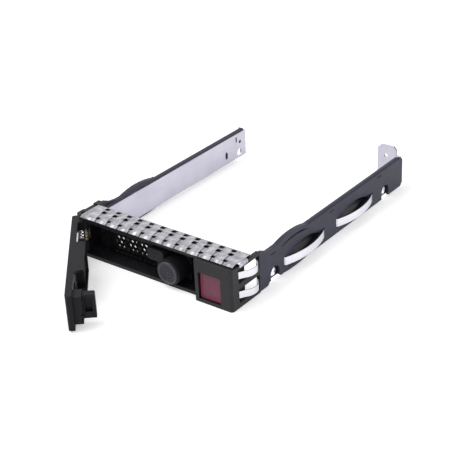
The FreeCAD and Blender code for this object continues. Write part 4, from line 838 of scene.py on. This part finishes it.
@dataclass
class Coil:
    """A spring wound from round wire about an upright axis, with a straight leg at each end.

    The wound radius, the wire's radius, the wound length and both legs are in millimetres. The coil is
    wound upwards from the origin, and place then turns it and moves it to where it belongs.
    """

    name: str
    stands_for: str
    radius: float
    wire: float
    turns: float
    length: float
    start_leg: float
    end_leg: float
    place: Matrix
    turn_points: int = 40
    wire_points: int = 12

    def tree(self, finish: bpy.types.Material) -> bpy.types.NodeTree:
        """Builds the winding as Geometry Nodes.

        Args:
            finish: The wire's finish.

        Returns:
            A tree with named inputs for the sizes.
        """
        tree, given = start_tree(self.name + "_winding",
                                 ("Radius", "Wire", "Turns", "Length", "Start Leg", "End Leg"))
        # The helix starts on the X axis, and a straight leg carries on from each of its ends.
        helix = add_node(tree, "GeometryNodeCurveSpiral",
                         {"Resolution": self.turn_points, "Rotations": given["Turns"],
                          "Start Radius": given["Radius"], "End Radius": given["Radius"],
                          "Height": given["Length"], "Reverse": True})
        start = add_node(tree, "ShaderNodeCombineXYZ", {"X": given["Radius"]})
        back = add_node(tree, "ShaderNodeMath", {0: given["Start Leg"], 1: -1.0}, operation="MULTIPLY")
        start_tip = add_node(tree, "ShaderNodeCombineXYZ", {"X": given["Radius"], "Y": back.outputs[0]})
        angle = add_node(tree, "ShaderNodeMath", {0: given["Turns"], 1: math.tau}, operation="MULTIPLY")
        cosine = add_node(tree, "ShaderNodeMath", {0: angle.outputs[0]}, operation="COSINE")
        sine = add_node(tree, "ShaderNodeMath", {0: angle.outputs[0]}, operation="SINE")
        end_x = add_node(tree, "ShaderNodeMath", {0: given["Radius"], 1: cosine.outputs[0]},
                         operation="MULTIPLY")
        end_y = add_node(tree, "ShaderNodeMath", {0: given["Radius"], 1: sine.outputs[0]},
                         operation="MULTIPLY")
        end = add_node(tree, "ShaderNodeCombineXYZ",
                       {"X": end_x.outputs[0], "Y": end_y.outputs[0], "Z": given["Length"]})
        along_x = add_node(tree, "ShaderNodeMath", {0: sine.outputs[0], 1: -1.0}, operation="MULTIPLY")
        along = add_node(tree, "ShaderNodeCombineXYZ", {"X": along_x.outputs[0], "Y": cosine.outputs[0]})
        reach = add_node(tree, "ShaderNodeVectorMath",
                         {0: along.outputs[0], "Scale": given["End Leg"]}, operation="SCALE")
        end_tip = add_node(tree, "ShaderNodeVectorMath", {0: end.outputs[0], 1: reach.outputs[0]},
                           operation="ADD")
        first = add_node(tree, "GeometryNodeCurvePrimitiveLine",
                         {"Start": start_tip.outputs[0], "End": start.outputs[0]})
        last = add_node(tree, "GeometryNodeCurvePrimitiveLine",
                        {"Start": end.outputs[0], "End": end_tip.outputs[0]})
        joined = add_node(tree, "GeometryNodeJoinGeometry")
        for part in (last, helix, first):
            tree.links.new(part.outputs["Curve"], joined.inputs[0])
        section = add_node(tree, "GeometryNodeCurvePrimitiveCircle",
                           {"Resolution": self.wire_points, "Radius": given["Wire"]})
        swept = add_node(tree, "GeometryNodeCurveToMesh",
                         {"Curve": joined.outputs[0], "Profile Curve": section.outputs["Curve"],
                          "Fill Caps": True})
        end_tree(tree, swept.outputs[0], finish)
        return tree

    def build(self, finish: bpy.types.Material) -> bpy.types.Object:
        """Winds the spring and puts it where its CAD node is.

        Args:
            finish: The wire's finish.

        Returns:
            The finished spring.
        """
        piece = grow(self.name, self.tree(finish),
                     {"Radius": self.radius * MM, "Wire": self.wire * MM, "Turns": self.turns,
                      "Length": self.length * MM, "Start Leg": self.start_leg * MM,
                      "End Leg": self.end_leg * MM})
        piece.data.transform(self.place)
        for polygon in piece.data.polygons:
            polygon.use_smooth = True
        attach(piece, "frame")
        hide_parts(self.stands_for)
        log.info("wound %s from %.1f turns", piece.name, self.turns)
        return piece


@dataclass
class Lever:
    """The hinged lever, its cam plate, its pin and the coil that opens it, with sizes in millimetres."""

    coil_radius: float = 1.68
    wire: float = 0.23
    whole_turns: int = 3
    bezel_leg: float = 2.5
    lever_leg: float = 4.8
    open_angle: float = joint_end("lever_swing")

    def build(self, spring: bpy.types.Material) -> None:
        """Dresses the lever and winds its coil.

        Args:
            spring: The spring steel finish.
        """
        dress("lever", LEVER_GREY.build())
        dress("lever_cam_plate", spring)
        dress("pivot_pin", PIN_STEEL.build())
        pin_low, pin_high = box_mm("pivot_pin")
        low, high = box_mm("lever_spring")
        foot = Vector(((pin_low.x + pin_high.x) / 2, (pin_low.y + pin_high.y) / 2, low.z + self.wire)) * MM
        place = Matrix.Translation(foot) @ Matrix.Rotation(math.pi, 4, "Z")
        # With the lever closed, the legs are a quarter turn apart; opening it unwinds that by its stroke.
        turns = self.whole_turns + (90.0 - self.open_angle) / 360.0
        length = high.z - low.z - 2 * self.wire
        Coil("lever_coil", "lever_spring", self.coil_radius, self.wire, turns, length, self.bezel_leg,
             self.lever_leg, place).build(WIRE.build())


@dataclass
class Release:
    """The red button, the latch it draws aside and the springs behind both, with sizes in millimetres."""

    coil_x: float = 27.325
    coil_z: float = 3.2
    coil_front: float = 2.65
    coil_length: float = 7.7
    coil_radius: float = 1.15
    wire: float = 0.18
    turns: float = 4.0
    travel: float = joint_end("button_press") / MM

    def build(self, spring: bpy.types.Material, charcoal: bpy.types.Material) -> None:
        """Dresses the button and the latch and winds the button's coil.

        Args:
            spring: The spring steel finish.
            charcoal: The finish of the latch, as on the bezel.
        """
        dress("release_button", BURGUNDY.build())
        dress("latch_slide", charcoal)
        dress("latch_spring", spring)
        lying = Matrix.Rotation(-math.pi / 2, 4, "X")
        place = Matrix.Translation(Vector((self.coil_x, self.coil_front, self.coil_z)) * MM) @ lying
        coil = Coil("button_coil", "button_spring", self.coil_radius, self.wire, self.turns,
                    self.coil_length, 0.0, 0.0, place).build(spring)
        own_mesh(coil)


# ---- Studio ----

@dataclass
class Studio:
    """A plain white floor, soft lamps and the camera.

    Angles are in degrees, and the camera's distance, its aim, its lens and its sensor in millimetres. The
    floor and how near and far the camera sees are in metres.
    """

    azimuth: float = 37.98
    elevation: float = 28.32
    roll: float = -2.71
    distance: float = 467.95
    aim: tuple[float, float, float] = (-3.75, 55.0, -6.1)
    lens: float = 91.2
    sensor: float = 36.0
    nearest: float = 0.01
    farthest: float = 50.0
    world_level: float = 0.62
    floor_size: float = 6.0
    paper: str = "F4F4F4"
    paper_glow: float = 0.4

    def camera(self) -> None:
        """Places the camera."""
        azimuth, elevation, roll = (math.radians(a) for a in (self.azimuth, self.elevation, self.roll))
        back = Vector((math.sin(azimuth) * math.cos(elevation), -math.cos(azimuth) * math.cos(elevation),
                       math.sin(elevation)))
        right = (-back).cross(Vector((0, 0, 1))).normalized()
        up = right.cross(-back)
        rolled_right = right * math.cos(roll) + up * math.sin(roll)
        rolled_up = up * math.cos(roll) - right * math.sin(roll)
        data = bpy.data.cameras.new("camera")
        data.lens = self.lens
        data.sensor_width = self.sensor
        data.clip_start = self.nearest
        data.clip_end = self.farthest
        camera = bpy.data.objects.new("camera", data)
        turn = Matrix((rolled_right, rolled_up, back)).transposed().to_4x4()
        camera.matrix_world = Matrix.Translation((Vector(self.aim) + back * self.distance) * MM) @ turn
        bpy.context.scene.collection.objects.link(camera)
        bpy.context.scene.camera = camera

    def lamps(self) -> None:
        """Hangs a large key lamp and a weaker fill lamp."""
        aim = Vector(self.aim) * MM
        # Each lamp's place from the aim and its width, in metres, and its power in watts.
        for name, offset, size, power in (("key", (-0.35, -0.3, 0.75), 0.6, 3.4),
                                          ("fill", (0.7, -0.35, 0.35), 0.5, 1.3)):
            data = bpy.data.lights.new(name, "AREA")
            data.size = size
            data.energy = power
            lamp = bpy.data.objects.new(name, data)
            lamp.location = aim + Vector(offset)
            lamp.rotation_euler = (-Vector(offset)).to_track_quat("-Z", "Y").to_euler()
            bpy.context.scene.collection.objects.link(lamp)

    def world(self) -> None:
        """Lights the world plainly and shows it as white."""
        world = bpy.data.worlds.new("studio")
        bpy.context.scene.world = world
        world.use_nodes = True
        tree = world.node_tree
        tree.nodes.clear()
        seen = self.seen_directly(tree)
        level = add_node(tree, "ShaderNodeMapRange",
                         {"Value": seen, "To Min": self.world_level, "To Max": 1.0})
        sky = add_node(tree, "ShaderNodeBackground",
                       {"Color": linear("FFFFFF"), "Strength": level.outputs["Result"]})
        add_node(tree, "ShaderNodeOutputWorld", {"Surface": sky.outputs[0]})

    def seen_directly(self, tree: bpy.types.NodeTree) -> bpy.types.NodeSocket:
        """Tells rays that show a surface from rays that light one.

        Args:
            tree: The tree to add to.

        Returns:
            A socket that is 1 for camera, glossy and transmission rays.
        """
        path = add_node(tree, "ShaderNodeLightPath").outputs
        first = add_node(tree, "ShaderNodeMath", {0: path["Is Camera Ray"], 1: path["Is Glossy Ray"]},
                         operation="MAXIMUM")
        both = add_node(tree, "ShaderNodeMath", {0: first.outputs[0], 1: path["Is Transmission Ray"]},
                        operation="MAXIMUM")
        return both.outputs[0]

    def floor(self) -> None:
        """Lays the white floor under the caddy, with its shadow kept."""
        half = self.floor_size / 2
        z = CAD_BOX[0].z
        mesh = bpy.data.meshes.new("floor")
        corners = [(-half, -half, z), (half, -half, z), (half, half, z), (-half, half, z)]
        mesh.from_pydata(corners, [], [(0, 1, 2, 3)])
        floor = bpy.data.objects.new("floor", mesh)
        bpy.context.scene.collection.objects.link(floor)
        # Matt white paper mirrors nothing, so the caddy stands on plain white with only its soft shadow.
        material, tree = new_material("white_paper_floor")
        matt = add_node(tree, "ShaderNodeBsdfDiffuse", {"Color": linear(self.paper)})
        lift = add_node(tree, "ShaderNodeMapRange",
                        {"Value": self.seen_directly(tree), "To Min": 0.0, "To Max": self.paper_glow})
        glow = add_node(tree, "ShaderNodeEmission", {"Strength": lift.outputs["Result"]})
        both = add_node(tree, "ShaderNodeAddShader", {0: matt.outputs[0], 1: glow.outputs[0]})
        add_node(tree, "ShaderNodeOutputMaterial", {"Surface": both.outputs[0]})
        mesh.materials.append(material)

    def build(self) -> None:
        """Sets up the whole studio."""
        self.camera()
        self.lamps()
        self.world()
        self.floor()
        bpy.context.scene.view_settings.view_transform = "Standard"


def main() -> None:
    """Builds every sub-assembly in order."""
    logging.basicConfig(level=logging.INFO, format="%(name)s: %(message)s")
    Studio().build()
    spring = SPRING_STEEL.build()
    charcoal = CHARCOAL.build()
    Bezel().build(charcoal)
    StatusLamp().build()
    Shielding().build(spring)
    Rails().build(spring)
    Lever().build(spring)
    Release().build(spring, charcoal)


if __name__ == "__main__":
    main()
